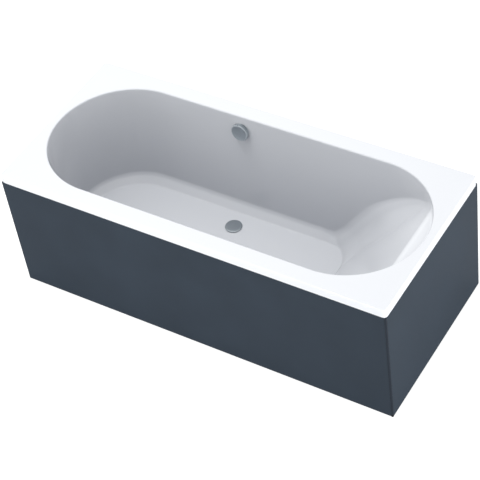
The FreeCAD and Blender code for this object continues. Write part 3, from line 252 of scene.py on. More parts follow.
def plan_columns():
    """Spine points and outward directions of the grid's columns, in order round the plan.

    Along the sides the columns stand square to the spine. Round each end they fan out from
    the spine's end, closer together where they meet the rim's outer corners.
    """
    reach = HALF_LENGTH - END_RIM - OPENING_HALF
    corner = math.atan2(HALF_WIDTH, HALF_LENGTH - reach)
    spread = 3 * CORNER_ROUND / math.hypot(HALF_WIDTH, HALF_LENGTH - reach)
    fan = np.linspace(-math.pi / 2, math.pi / 2, END_COLUMNS)
    for place in (-corner, corner):
        fan = np.concatenate([fan, place + np.linspace(-spread, spread, CORNER_COLUMNS)])
    fan = np.unique(np.round(fan, 6))
    side = np.linspace(-reach, reach, SIDE_COLUMNS + 2)[1:-1]
    foot = HALF_LENGTH - END_RIM - LEDGE_DEPTH - BACKREST_RUN
    side = np.union1d(side, foot + np.linspace(*CREASE_SPAN, CREASE_COLUMNS))
    side = np.union1d(side, np.linspace(foot - 0.10, reach, VALLEY_COLUMNS + 1)[:-1])
    spine_x = np.concatenate([np.full(len(fan), reach), side[::-1],
                              np.full(len(fan), -reach), side])
    angle = np.concatenate([fan, np.full(len(side), math.pi / 2), fan + math.pi,
                            np.full(len(side), -math.pi / 2)])
    spine = np.stack([spine_x, np.zeros_like(spine_x)], -1)
    return spine, np.stack([np.cos(angle), np.sin(angle)], -1)


def cast(spine, way, dip):
    """Where rays from an eye over the spine, dipping by given angles, meet the basin."""
    eye = RIM_TOP + EYE_HEIGHT
    flat = np.cos(dip)
    drop = np.sin(dip)

    def at(length):
        across = length * flat
        return (spine[:, :1] + way[:, :1] * across, spine[:, 1:] + way[:, 1:] * across,
                eye - length * drop)

    length = halved(lambda t: basin_depth(*at(t)), (eye - FLOOR + WALL) / drop)
    return np.stack(at(length), -1)


def basin_grid(spine, way):
    """The basin's inner surface as rings of points, from the flat rim to the spine.

    Many rays are cast in each column. They are then thinned to equal steps of a measure that
    adds length and turning, so that the rounds get as many rings as the flats.
    """
    eye_drop = math.atan2(EYE_HEIGHT, OPENING_HALF + 2 * RIM_ROUND)
    dip = np.linspace(eye_drop, math.pi / 2, DENSE_RAYS)[None, :] * np.ones((len(spine), 1))
    points = cast(spine, way, dip)
    step = np.diff(points, axis=1)
    length = np.linalg.norm(step, axis=-1)
    unit = step / np.maximum(length, 1e-9)[..., None]
    turn = np.arccos(np.clip((unit[:, 1:] * unit[:, :-1]).sum(-1), -1, 1))
    turn = np.concatenate([turn, turn[:, -1:]], 1)
    measure = np.concatenate([np.zeros((len(spine), 1)),
                              np.cumsum(length / FLAT_STEP + turn / TURN_STEP, axis=1)], 1)
    kept = [np.interp(np.linspace(0, row[-1], BASIN_RINGS), row, angles)
            for row, angles in zip(measure, dip)]
    return cast(spine, way, np.array(kept))


def lip_grid(spine, way):
    """Rings over the rim's outer edge: the lip's foot, its face, a quarter round and the top."""
    reach = halved(lambda t: rim_depth(spine[:, 0] + way[:, 0] * t, spine[:, 1] + way[:, 1] * t),
                   np.full(len(spine), 2 * HALF_LENGTH))
    edge = spine + way * reach[:, None]
    x, y = edge.T
    normal = np.stack([rim_depth(x - TINY, y) - rim_depth(x + TINY, y),
                       rim_depth(x, y - TINY) - rim_depth(x, y + TINY)], -1)
    normal /= np.linalg.norm(normal, axis=-1, keepdims=True)
    turn = np.linspace(0, math.pi / 2, LIP_RINGS)
    inset = np.concatenate([[0, 0], LIP_ROUND * (1 - np.cos(turn))])
    height = np.concatenate([[RIM_TOP - LIP, RIM_TOP - LIP / 2],
                             RIM_TOP - LIP_ROUND + LIP_ROUND * np.sin(turn)])
    plan = edge[:, None, :] - normal[:, None, :] * inset[None, :, None]
    height = np.broadcast_to(height[None, :, None], plan.shape[:2] + (1,))
    return np.concatenate([plan, height], -1)


def grid_faces(rows, columns, round_rows=False):
    """Quads between neighbours of a grid whose last column, or last row too, joins the first."""
    row = np.arange(rows if round_rows else rows - 1)[:, None]
    column = np.arange(columns)[None, :]
    next_row = (row + 1) % rows
    next_column = (column + 1) % columns
    return np.stack([row * columns + column, row * columns + next_column,
                     next_row * columns + next_column, next_row * columns + column],
                    -1).reshape(-1, 4).tolist()


def patch(grid, round_rows=False, capped=False):
    """A patch from a grid of points; capped closes its first and last rows with flat faces."""
    rows, columns = grid.shape[:2]
    faces = grid_faces(rows, columns, round_rows)
    if capped:
        faces.append(list(range(columns)))
        faces.append([(rows - 1) * columns + k for k in range(columns)])
    return grid.reshape(-1, 3), faces


def full_turn(steps):
    """Angles in equal steps round a full turn."""
    return np.linspace(0, 2 * math.pi, steps, endpoint=False)


def turned(radius, angle, height):
    """Points round the Z axis, from radii, angles and heights that fit one grid."""
    radius, angle, height = np.broadcast_arrays(radius, angle, height)
    return np.stack([radius * np.cos(angle), radius * np.sin(angle), height], -1)


def placed(shape, matrix):
    """A patch moved and turned by a matrix."""
    points, faces = shape
    turn = np.array(matrix.to_3x3())
    return points @ turn.T + np.array(matrix.translation), faces


def softened(corners, rounds, steps):
    """An open outline whose inner corners are arcs.

    Each arc touches both sides at its radius over the tangent of half the corner's angle from
    the corner, and its points turn evenly about its centre.
    """
    corners = np.array(corners, float)
    count = len(corners)
    rounds = np.broadcast_to(rounds, count)
    outline = []
    for k in range(count):
        if rounds[k] <= 0 or k in (0, count - 1):
            outline.append(corners[k])
            continue
        to_last = corners[k - 1] - corners[k]
        to_next = corners[k + 1] - corners[k]
        room = 0.49 * min(np.linalg.norm(to_last), np.linalg.norm(to_next))
        to_last = to_last / np.linalg.norm(to_last)
        to_next = to_next / np.linalg.norm(to_next)
        half = math.acos(np.clip(to_last @ to_next, -1, 1)) / 2
        reach = min(rounds[k] / math.tan(half), room)
        radius = reach * math.tan(half)
        middle = (to_last + to_next) / np.linalg.norm(to_last + to_next)
        centre = corners[k] + middle * radius / math.sin(half)
        start = corners[k] + to_last * reach - centre
        end = corners[k] + to_next * reach - centre
        sweep = math.acos(np.clip(start @ end / radius ** 2, -1, 1))
        for share in np.linspace(0, 1, steps + 1):
            outline.append(centre + (start * math.sin((1 - share) * sweep)
                                     + end * math.sin(share * sweep)) / math.sin(sweep))
    return np.array(outline)


def lathe(profile, steps=AROUND):
    """A profile of (radius, height) points turned round the Z axis."""
    radius, height = np.array(profile).T[:, :, None]
    return patch(turned(radius, full_turn(steps), height))


def thread(radius, depth, pitch, low, high, steps=16, per_turn=8):
    """A threaded bar: its radius falls and rises once a pitch, and a pitch later each turn."""
    rows = int((high - low) / pitch * per_turn)
    height = np.linspace(low, high, rows)[:, None]
    angle = full_turn(steps)
    phase = (height / pitch - angle / (2 * math.pi)) % 1
    size = radius - depth * np.abs(2 * phase - 1)
    fade = np.clip(np.minimum(height - low, high - height) / pitch, 0, 1)
    size = (radius - depth) + (size - radius + depth) * fade
    return patch(turned(size, angle, height), capped=True)


def hex_nut(flat, height, bore, steps=96):
    """A six-sided nut: the apothem over the cosine of the angle from a flat's middle.

    Both ends are cut by a cone, which leaves the round chamfer on the corners.
    """
    angle = full_turn(steps)
    side = flat / 2 / np.cos((angle + math.pi / 6) % (math.pi / 3) - math.pi / 6)
    cone = NUT_CONE * flat / 2
    run = side.max() - cone
    rows = [(0, bore), (0, cone)]
    rows += [(share * run * math.tan(NUT_CHAMFER), cone + share * run)
             for share in (0.34, 0.67, 1.0)]
    rows += [(height - z, r) for z, r in rows[::-1]]
    grid = np.array([turned(np.minimum(side, r), angle, z) for z, r in rows])
    return patch(grid, round_rows=True)


def screw_head(radius, height, steps=48, rings=14):
    """A pan head facing down, with a cross sunk in it.

    The dome falls with the fourth power of the radius share. The cross is the deeper of two
    grooves, each level across its width and eased out at its sides and ends.
    """
    share = np.linspace(0, 1, rings)[:, None]
    angle = full_turn(steps)
    x = radius * share * np.cos(angle)
    y = radius * share * np.sin(angle)
    half = 0.16 * radius
    groove = np.maximum(1 - ease(np.abs(x) / half - 0.5), 1 - ease(np.abs(y) / half - 0.5))
    sunk = 0.55 * height * groove * (1 - ease((share - 0.45) / 0.2))
    z = -height * (1 - 0.35 * share ** 4) + sunk
    top = np.stack([x, y, z], -1)
    foot = np.stack([x[-1], y[-1], np.zeros(steps)], -1)[None]
    centre = np.zeros((1, steps, 3))
    return patch(np.concatenate([top, foot, centre]))


def path_frames(points, bend, spacing):
    """Points along a path with arcs at its corners, with a turning frame that never twists.

    Each step's frame is the last one, less its part along the new direction.
    """
    line = softened(points, bend, BEND_STEPS)
    dense = [line[0]]
    for a, b in zip(line[:-1], line[1:]):
        count = max(1, int(np.linalg.norm(b - a) / spacing))
        dense += [a + (b - a) * k / count for k in range(1, count + 1)]
    dense = np.array(dense)
    way = np.gradient(dense, axis=0)
    way /= np.linalg.norm(way, axis=1, keepdims=True)
    side = np.cross(way[0], (0, 0, 1) if abs(way[0][2]) < 0.9 else (1, 0, 0))
    sides = []
    for direction in way:
        side = side - direction * (side @ direction)
        side = side / np.linalg.norm(side)
        sides.append(side)
    sides = np.array(sides)
    return dense, sides, np.cross(way, sides)


def tube(points, radius, bore, bend, steps, spacing, ribs=0.0, pitch=0.006, plain=0.0):
    """A pipe along a path: circles in each frame, out along the outside and back inside.

    Ribs are taken off the radius as one less the cosine of the length over the pitch, away from
    a plain stretch at either end.
    """
    dense, side, up = path_frames(points, bend, spacing)
    length = np.concatenate([[0], np.cumsum(np.linalg.norm(np.diff(dense, axis=0), axis=1))])
    inward = ease((np.minimum(length, length[-1] - length) - plain) / pitch)
    size = radius - ribs * inward * (1 - np.cos(2 * math.pi * length / pitch)) / 2
    angle = full_turn(steps)
    ring = (side[:, None] * np.cos(angle)[None, :, None]
            + up[:, None] * np.sin(angle)[None, :, None])
    outer = dense[:, None] + ring * size[:, None, None]
    inner = (dense[:, None] + ring * bore)[::-1]
    return patch(np.concatenate([outer, inner]), round_rows=True)


def gripped_ring(low, high, radius=UNION_RADIUS, length=UNION_LENGTH, ribs=18, rib=0.0012,
                 steps=216):
    """A union nut with a bore for each half: rounded ribs run along it and fade at its ends."""
    angle = full_turn(steps)
    wave = np.cos(ribs * angle / 2) ** 4 * rib
    grid = [(low, length / 2), (low, 0.0006), (low + 0.0006, 0), (radius - rib - 0.0012, 0),
            (radius - rib, 0.0012)]
    for share in (0.08, 0.13, 0.18, 0.5, 0.82, 0.87, 0.92):
        fade = float(ease(min(share, 1 - share) / 0.18))
        grid.append((radius - rib + wave * fade, share * length))
    grid += [(radius - rib, length - 0.0012), (radius - rib - 0.0012, length),
             (high + 0.0006, length), (high, length - 0.0006), (high, length / 2)]
    return patch(np.array([turned(size, angle, z) for size, z in grid]), round_rows=True)


def foot_pad(steps=192):
    """A levelling foot's pad: a hub on a brim, with eight ribs that slope down between them.

    Each point of the cone between hub and brim is raised to the rib's line by how near it lies
    to the middle of a rib, measured square to the rib.
    """
    angle = full_turn(steps)
    off = np.abs((angle + PAD_RIB_TURN / 2) % PAD_RIB_TURN - PAD_RIB_TURN / 2)
    grid = [(0, 0.006), (0.00605, 0.006), (0.00605, 0.0212), (0.0069, 0.022), (0.0102, 0.022),
            (0.011, 0.0212)]
    hub, run = 0.011, 0.0138
    for radius in np.linspace(hub, 0.0238, 12):
        share = (radius - hub) / run
        cone = 0.010 - 0.006 * share
        rib = 0.019 - 0.0142 * share
        near = 1 - ease((radius * np.sin(off) - 0.0009) / 0.0009)
        grid.append((radius, cone + (rib - cone) * near))
    grid += [(0.0244, 0.0040), (0.0250, 0.0034), (0.0250, 0.0006), (0.0244, 0), (0.0215, 0),
             (0.0205, 0.0008), (0, 0.0008)]
    return patch(np.array([turned(r, angle, z) for r, z in grid]))


def joined(*shapes):
    """Several patches as one."""
    points, faces, count = [], [], 0
    for some_points, some_faces in shapes:
        points.append(some_points)
        faces += [[k + count for k in face] for face in some_faces]
        count += len(some_points)
    return np.concatenate(points), faces


# node groups for effects that several materials share
def feed(tree, socket, value):
    """Link a socket to another one, or give it a value."""
    if isinstance(value, bpy.types.NodeSocket):
        tree.links.new(value, socket)
    else:
        socket.default_value = value


def node(tree, kind, inputs=None, **settings):
    """Add a shader node: settings are its own, inputs are values or sockets to link."""
    added = tree.nodes.new("ShaderNode" + kind)
    for name, value in settings.items():
        setattr(added, name, value)
    for name, value in (inputs or {}).items():
        feed(tree, added.inputs[name], value)
    return added


def sums(tree, operation, a, b=0.0, clamp=False):
    """The result of one sum on two numbers, held between 0 and 1 if clamped."""
    return node(tree, "Math", {0: a, 1: b}, operation=operation, use_clamp=clamp).outputs[0]


def blend_colour(tree, share, a, b):
    """The first colour at a share of 0, the second at 1."""
    return node(tree, "Mix", {0: share, 6: a, 7: b}, data_type="RGBA").outputs[2]


def effect(name, inputs, outputs, fill):
    """A shared node group: its sockets, and the function that fills it."""
    tree = bpy.data.node_groups.new(name, "ShaderNodeTree")
    for label, kind, value in inputs:
        tree.interface.new_socket(label, in_out="INPUT", socket_type="NodeSocket" + kind)
        tree.interface.items_tree[label].default_value = value
    for label, kind in outputs:
        tree.interface.new_socket(label, in_out="OUTPUT", socket_type="NodeSocket" + kind)
    start = tree.nodes.new("NodeGroupInput")
    end = tree.nodes.new("NodeGroupOutput")
    for label, socket in fill(tree, start.outputs).items():
        tree.links.new(socket, end.inputs[label])
    return tree


def use(tree, group, **inputs):
    """The outputs of a shared group, given its inputs."""
    return node(tree, "Group", inputs, node_tree=group).outputs


def fill_mottle(tree, given):
    """Broad clouds and fine grain, both about a half."""
    place = node(tree, "TexCoord").outputs["Object"]
    broad = node(tree, "TexNoise", {"Vector": place, "Scale": given["Broad"], "Detail": 3.0})
    fine = node(tree, "TexNoise", {"Vector": place, "Scale": given["Fine"], "Detail": 4.0,
                                   "Roughness": 0.6})
    return {"Clouds": broad.outputs[0], "Grain": fine.outputs[0]}


def fill_dust(tree, given):
    """Where a little dust lies: on what faces up, in clouds with specks in them."""
    place = node(tree, "TexCoord").outputs["Object"]
    up = node(tree, "SeparateXYZ", {0: node(tree, "NewGeometry").outputs["Normal"]}).outputs[2]
    cloud = node(tree, "TexNoise", {"Vector": place, "Scale": 14.0, "Detail": 5.0}).outputs[0]
    speck = node(tree, "TexVoronoi", {"Vector": place, "Scale": 420.0}).outputs["Distance"]
    spot = sums(tree, "LESS_THAN", speck, 0.16)
    cover = sums(tree, "MULTIPLY", sums(tree, "SUBTRACT", cloud, 0.42, True), 1.6)
    both = sums(tree, "ADD", cover, sums(tree, "MULTIPLY", spot, 0.5))
    lying = sums(tree, "MULTIPLY", both, sums(tree, "SUBTRACT", up, 0.4, True))
    return {"Mask": sums(tree, "MULTIPLY", lying, given["Amount"], True)}


def fill_wood(tree, given):
    """Softwood: grown rings stretched along one axis, with pores along them."""
    place = node(tree, "TexCoord").outputs["Object"]
    along = node(tree, "Mapping", {"Vector": place, "Scale": given["Stretch"]}).outputs[0]
    ring = node(tree, "TexWave", {"Vector": along, "Scale": 11.0, "Distortion": 7.0,
                                  "Detail": 3.0, "Detail Scale": 1.4}, wave_type="RINGS")
    pore = node(tree, "TexNoise", {"Vector": along, "Scale": 160.0, "Detail": 4.0})
    shade = blend_colour(tree, ring.outputs["Fac"], given["Light"], given["Dark"])
    pores = sums(tree, "MULTIPLY", sums(tree, "SUBTRACT", pore.outputs[0], 0.52, True), 3.0, True)
    return {"Colour": blend_colour(tree, pores, shade, given["Dark"]), "Height": pore.outputs[0]}


def fill_chips(tree, given):
    """Pressed chips: flat cells in several browns, with darker glue between them."""
    place = node(tree, "TexCoord").outputs["Object"]
    bent = node(tree, "TexNoise", {"Vector": place, "Scale": 60.0}).outputs["Color"]
    inputs = {"Vector": node(tree, "VectorMath", {0: bent, 1: (0.012, 0.012, 0.004), 2: place},
                             operation="MULTIPLY_ADD").outputs[0], "Scale": 210.0}
    cell = node(tree, "TexVoronoi", inputs)
    tone = node(tree, "SeparateColor", {0: cell.outputs["Color"]}).outputs[0]
    gap = sums(tree, "MULTIPLY", cell.outputs["Distance"], 0.9, True)
    shade = blend_colour(tree, tone, given["Light"], given["Dark"])
    return {"Colour": blend_colour(tree, sums(tree, "MULTIPLY", gap, 0.35), shade,
                                   GLUE_COLOUR), "Height": tone}


def fill_spangle(tree, given):
    """Zinc crystals: large flat cells, each of its own brightness."""
    place = node(tree, "TexCoord").outputs["Object"]
    cell = node(tree, "TexVoronoi", {"Vector": place, "Scale": given["Scale"], "Randomness": 1.0})
    return {"Value": node(tree, "SeparateColor", {0: cell.outputs["Color"]}).outputs[0]}


def fill_fibre(tree, given):
    """A chopped fibre mat under resin: short stretched noise in two crossing directions."""
    place = node(tree, "TexCoord").outputs["Object"]
    strands = []
    for turn, scale in ((0.6, (300, 30, 120)), (2.1, (40, 280, 90))):
        moved = node(tree, "Mapping", {"Vector": place, "Rotation": (turn, turn / 2, turn),
                                       "Scale": scale}).outputs[0]
        noise = node(tree, "TexNoise", {"Vector": moved, "Scale": 1.0, "Detail": 2.0}).outputs[0]
        strands.append(sums(tree, "MULTIPLY", sums(tree, "SUBTRACT", noise, 0.5, True), 4.0, True))
    return {"Mask": sums(tree, "MAXIMUM", *strands)}


MOTTLE = effect("mottle", [("Broad", "Float", 6.0), ("Fine", "Float", 400.0)],
                [("Clouds", "Float"), ("Grain", "Float")], fill_mottle)
DUST = effect("dust", [("Amount", "Float", 0.3)], [("Mask", "Float")], fill_dust)
WOOD = effect("wood", [("Light", "Color", (*PINE[0], 1)), ("Dark", "Color", (*PINE[1], 1)),
                       ("Stretch", "Vector", (0.2, 3, 3))],
              [("Colour", "Color"), ("Height", "Float")], fill_wood)
CHIPS = effect("chips", [("Light", "Color", (*CHIP[0], 1)), ("Dark", "Color", (*CHIP[1], 1))],
               [("Colour", "Color"), ("Height", "Float")], fill_chips)
SPANGLE = effect("spangle", [("Scale", "Float", 90.0)], [("Value", "Float")], fill_spangle)
FIBRE = effect("fibre", [], [("Mask", "Float")], fill_fibre)


def around(colour, swing):
    """A colour darkened and lightened by a share of itself, for a shader's socket."""
    return [tuple(min(1, part * (1 + way * swing)) for part in colour[:3]) + (1,)
            for way in (-1, 1)]


def surface(name, colour, roughness, metallic=0.0, tint=0.06, broad=9.0, fine=500.0, swing=0.08,
            bump=0.1, depth=0.0002, dust=0.15, ior=1.5, gloss=0.5, bounce=1.0, pattern=None):
    """A material: clouds tint its colour, grain bumps it, clouds swing its roughness.

    A pattern gives its colour and its height instead, from one of the shared groups. Painted
    shade: to light that has already bounced off something matt, the colour counts only by its
    bounce share and turns a little blue, so the basin's walls come out darker and bluer.
    """
    material = bpy.data.materials.new(name)
    material.use_nodes = True
    tree = material.node_tree
    shader = tree.nodes["Principled BSDF"]
    mottle = use(tree, MOTTLE, Broad=broad, Fine=fine)
    if pattern:
        shade, height = pattern(tree, (*colour, 1))
    else:
        shade = blend_colour(tree, mottle["Clouds"], *around(colour, tint))
        height = mottle["Grain"]
    if dust:
        mask = use(tree, DUST, Amount=dust)["Mask"]
        shade = blend_colour(tree, mask, shade, DUST_COLOUR)
    # painted shade: light that has bounced sees a darker, bluer colour
    if bounce < 1:
        bounced = node(tree, "LightPath").outputs["Is Diffuse Ray"]
        share = sums(tree, "SUBTRACT", 1.0, sums(tree, "MULTIPLY", bounced, 1 - bounce))
        shade = blend_colour(tree, share, BOUNCE_SHADE_COLOUR, shade)
    tree.links.new(shade, shader.inputs["Base Color"])
    swung = sums(tree, "MULTIPLY", sums(tree, "SUBTRACT", mottle["Clouds"], 0.5), 2 * swing)
    tree.links.new(sums(tree, "ADD", swung, roughness, True), shader.inputs["Roughness"])
    shader.inputs["Metallic"].default_value = metallic
    shader.inputs["IOR"].default_value = ior
    shader.inputs["Specular IOR Level"].default_value = gloss
    bumped = node(tree, "Bump", {"Strength": bump, "Distance": depth, "Height": height})
    tree.links.new(bumped.outputs[0], shader.inputs["Normal"])
    return material


def wooden(stretch, light, dark):
    """Wood in two browns, its grain stretched along the axis with the least scale."""
    def pattern(tree, full):
        wood = use(tree, WOOD, Light=(*light, 1), Dark=(*dark, 1), Stretch=stretch)
        return wood["Colour"], wood["Height"]
    return pattern


def chipped(tree, full):
    """Chipboard in the shared group's own browns."""
    chips = use(tree, CHIPS)
    return chips["Colour"], chips["Height"]


def spangled(scale, swing):
    """Zinc crystals that swing the colour."""
    def pattern(tree, full):
        value = use(tree, SPANGLE, Scale=scale)["Value"]
        return blend_colour(tree, value, *around(full, swing)), value
    return pattern


def fibrous(tree, full):
    """Fibre strands over the colour."""
    mask = use(tree, FIBRE)["Mask"]
    return blend_colour(tree, sums(tree, "MULTIPLY", mask, 0.6), full, FIBRE_COLOUR), mask


MATERIALS = {
    # the acrylic's bounce share of 0.3 paints shade onto the basin's walls
    "white_acrylic": surface("white_acrylic", (0.785, 0.805, 0.84), 0.045, tint=0.006, broad=2.0,
                             fine=55.0, swing=0.01, bump=0.03, depth=0.0003, dust=0, ior=1.49,
                             bounce=0.3),
    "reinforced_back": surface("reinforced_back", (0.42, 0.40, 0.33), 0.55, bump=0.6, depth=0.0006,
                               broad=12.0, pattern=fibrous),
    "anthracite_panel": surface("anthracite_panel", (0.030, 0.041, 0.056), 0.45, tint=0.16,
                                broad=5.0, fine=700.0, swing=0.06, bump=0.08, depth=0.0001,
                                dust=0.02, gloss=0.10),
    "backing_paper": surface("backing_paper", (0.20, 0.20, 0.195), 0.7, fine=900.0, bump=0.3),
    "dark_aluminium": surface("dark_aluminium", (0.0155, 0.022, 0.032), 0.45, tint=0.1,
                              fine=1500.0, gloss=0.2, dust=0),
    "chrome": surface("chrome", (0.47, 0.515, 0.545), 0.30, metallic=1.0, tint=0.02, swing=0.05,
                      bump=0.02, fine=120.0, dust=0.02),
    "chipboard": surface("chipboard", CHIP[0], 0.75, bump=0.5, depth=0.0005,
                         pattern=chipped, dust=0.3),
    "batten_wood": surface("batten_wood", PINE[0], 0.62, bump=0.35, depth=0.0004,
                           pattern=wooden((0.25, 3, 3), *PINE), dust=0.25),
    "batten_wood_across": surface("batten_wood_across", PINE[0], 0.62, bump=0.35, depth=0.0004,
                                  pattern=wooden((3, 0.25, 3), *PINE), dust=0.25),
    "galvanised_steel": surface("galvanised_steel", (0.55, 0.57, 0.59), 0.42, metallic=0.9,
                                bump=0.05, pattern=spangled(75.0, 0.18), dust=0.3),
    "spring_steel": surface("spring_steel", (0.30, 0.31, 0.33), 0.33, metallic=1.0, fine=1800.0,
                            bump=0.15),
    "zinc_steel": surface("zinc_steel", (0.66, 0.66, 0.62), 0.3, metallic=1.0, bump=0.06,
                          pattern=spangled(420.0, 0.08), dust=0.2),
    "foot_plastic": surface("foot_plastic", (0.022, 0.022, 0.024), 0.58, fine=1500.0, bump=0.3,
                            dust=0.25),
    "foot_block": surface("foot_block", (0.006, 0.006, 0.007), 0.6, fine=1500.0, gloss=0.2,
                          dust=0),
    "magnet": surface("magnet", (0.035, 0.034, 0.036), 0.62, fine=1100.0, bump=0.4, tint=0.2),
    "black_rubber": surface("black_rubber", (0.015, 0.015, 0.016), 0.72, fine=1400.0, bump=0.35,
                            tint=0.2),
    "white_plastic": surface("white_plastic", (0.74, 0.75, 0.75), 0.36, fine=900.0, bump=0.12,
                             tint=0.02, dust=0.25),
    "grey_plastic": surface("grey_plastic", (0.33, 0.34, 0.35), 0.45, fine=1000.0, bump=0.2,
                            tint=0.05, dust=0.25),
    "pin_steel": surface("pin_steel", (0.58, 0.58, 0.57), 0.24, metallic=1.0, fine=2000.0,
                         bump=0.08, tint=0.05),
    "cable_sheath": surface("cable_sheath", (0.03, 0.03, 0.032), 0.46, fine=1600.0, bump=0.2,
                            tint=0.1),
}
record = frame["record"]
SLOT_OF = {part["node"]: part["material_slot"] for part in record["subparts"]}
BODY_OF = {name: body for body, names in record["behaviour"]["bodies"].items() for name in names}
OWN_FINISH = {"end_hook_rail": "batten_wood_across", "end_cleat": "batten_wood_across",
              "corner_blocks": "batten_wood_across", "corner_foot": "foot_block"}


def new_object(name, data):
    """A new object, linked to the scene."""
    holder = bpy.data.objects.new(name, data)
    bpy.context.scene.collection.objects.link(holder)
    return holder


def mesh_of(name, shape):
    """A bare mesh from a patch."""
    points, faces = shape
    mesh = bpy.data.meshes.new(name)
    mesh.from_pydata(points.tolist(), [], faces)
    return mesh


def cleaned(mesh, outward=True):
    """Merge a mesh's double points, drop its empty faces and, if asked, turn it outward."""
    work = bmesh.new()
    work.from_mesh(mesh)
    bmesh.ops.remove_doubles(work, verts=work.verts, dist=MERGE)
    bmesh.ops.dissolve_degenerate(work, edges=work.edges, dist=MERGE)
    if outward:
        bmesh.ops.recalc_face_normals(work, faces=work.faces)
    work.to_mesh(mesh)
    work.free()
    return mesh


def dressed(mesh, name, label=None):
    """Show a mesh in place of a frame node: smooth, riding its body, in its finish."""
    piece = new_object(label or name + "_made", mesh)
    mesh.shade_smooth()
    mesh.set_sharp_from_angle(angle=SHARP_ANGLE)
    if not mesh.materials:
        mesh.materials.append(MATERIALS[OWN_FINISH.get(name, SLOT_OF[name])])
    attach(piece, BODY_OF[name])
    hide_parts(name)
    return piece


def made(shape, name):
    """A piece from a patch."""
    dressed(cleaned(mesh_of(name + "_made", shape)), name)


def refined(name, edge):
    """A copy of a frame node: points merged, flats joined and edges eased by a bevel."""
    mesh = frame["nodes"][name].data.copy()
    mesh.materials.clear()
    work = bmesh.new()
    work.from_mesh(mesh)
    bmesh.ops.remove_doubles(work, verts=work.verts, dist=MERGE)
    bmesh.ops.dissolve_limit(work, angle_limit=FLAT_ANGLE, verts=work.verts,
                             edges=work.edges)
    for face in work.faces:
        face.material_index = 0
    work.to_mesh(mesh)
    work.free()
    piece = dressed(mesh, name)
    if edge:
        bevel = piece.modifiers.new("edges", "BEVEL")
        bevel.width = edge
        bevel.segments = 2
        bevel.limit_method = "ANGLE"
        bevel.angle_limit = BEVEL_ANGLE
        bevel.harden_normals = True
    return piece


def overflow_place():
    """The overflow's axis, square to the leaning back wall; Z points into the basin."""
    share = OVERFLOW_DROP / (RIM_TOP - FLOOR)
    lean = math.atan2(OPENING_HALF - FLOOR_HALF, RIM_TOP - FLOOR)
    spot = (DRAIN_PLACE.x, OPENING_HALF - share * (OPENING_HALF - FLOOR_HALF),
            RIM_TOP - OVERFLOW_DROP)
    return Matrix.Translation(spot) @ Matrix.Rotation(math.pi / 2 - lean, 4, "X")


OVERFLOW_PLACE = overflow_place()


def cutter(place, radius):
    """A round bar to cut a hole through the shell with."""
    half = 0.03
    bar = lathe([(0, -half), (radius, -half), (radius, half), (0, half)])
    return new_object("hole", cleaned(mesh_of("hole", placed(bar, place))))


def shell():
    """The acrylic shell, with the drain and overflow holes cut through it.

    It is the seen surface, the same surface set back by the wall, and the lip's foot between
    them. The lip's inner face is set back in plan only, up to the rim's underside.
    """
    spine, way = plan_columns()
    front = np.concatenate([lip_grid(spine, way), basin_grid(spine, way)], 1)
    x, y, z = np.moveaxis(front, -1, 0)
    slope = np.stack([basin_depth(x + TINY, y, z) - basin_depth(x - TINY, y, z),
                      basin_depth(x, y + TINY, z) - basin_depth(x, y - TINY, z),
                      basin_depth(x, y, z + TINY) - basin_depth(x, y, z - TINY)], -1)
    slope /= np.linalg.norm(slope, axis=-1, keepdims=True)
    back = front - slope * WALL
    rings = LIP_RINGS + 2
    edge = front[:, 0, :2]
    inner = edge + (front[:, rings - 1, :2] - edge) / LIP_ROUND * WALL
    back[:, :rings, :2] = inner[:, None]
    back[:, :rings, 2] = np.minimum(front[:, :rings, 2], RIM_TOP - WALL)
    seen = np.swapaxes(front, 0, 1)
    hidden = np.swapaxes(back, 0, 1)
    hidden = np.concatenate([hidden[:rings], hidden[rings:-1:2], hidden[-1:]])
    count = seen.shape[0] * seen.shape[1]
    columns = seen.shape[1]
    faces = grid_faces(*seen.shape[:2])
    turned_faces = [[k + count for k in face[::-1]] for face in grid_faces(*hidden.shape[:2])]
    strip = [[k, count + k, count + (k + 1) % columns, (k + 1) % columns] for k in range(columns)]
    points = np.concatenate([seen.reshape(-1, 3), hidden.reshape(-1, 3)])
    mesh = mesh_of("shell", (points, faces + turned_faces + strip))
    mesh.materials.append(MATERIALS["white_acrylic"])
    mesh.materials.append(MATERIALS["reinforced_back"])
    index = [0] * len(faces) + [1] * len(turned_faces) + [0] * len(strip)
    mesh.polygons.foreach_set("material_index", index)
    raw = new_object("shell_uncut", cleaned(mesh, outward=False))
    cutters = [cutter(Matrix.Translation(DRAIN_PLACE), DRAIN_HOLE),
               cutter(OVERFLOW_PLACE, OVERFLOW_HOLE)]
    for bar in cutters:
        hole = raw.modifiers.new("hole", "BOOLEAN")
        hole.object = bar
        hole.solver = "EXACT"
    bpy.context.view_layer.update()
    depsgraph = bpy.context.evaluated_depsgraph_get()
    whole = bpy.data.meshes.new_from_object(raw.evaluated_get(depsgraph))
    for spare in cutters + [raw]:
        bpy.data.objects.remove(spare)
    dressed(whole, "tub_shell", "shell")


def panels():
    """Both panels with eased edges, each with a plain backing behind its lacquer."""
    for name, axis, sign in (("front_panel", 1, 1), ("end_panel", 0, -1)):
        piece = refined(name, PANEL_EDGE)
        piece.data.materials.append(MATERIALS["backing_paper"])
        for face in piece.data.polygons:
            if face.normal[axis] * sign > 0.99:
                face.material_index = 1


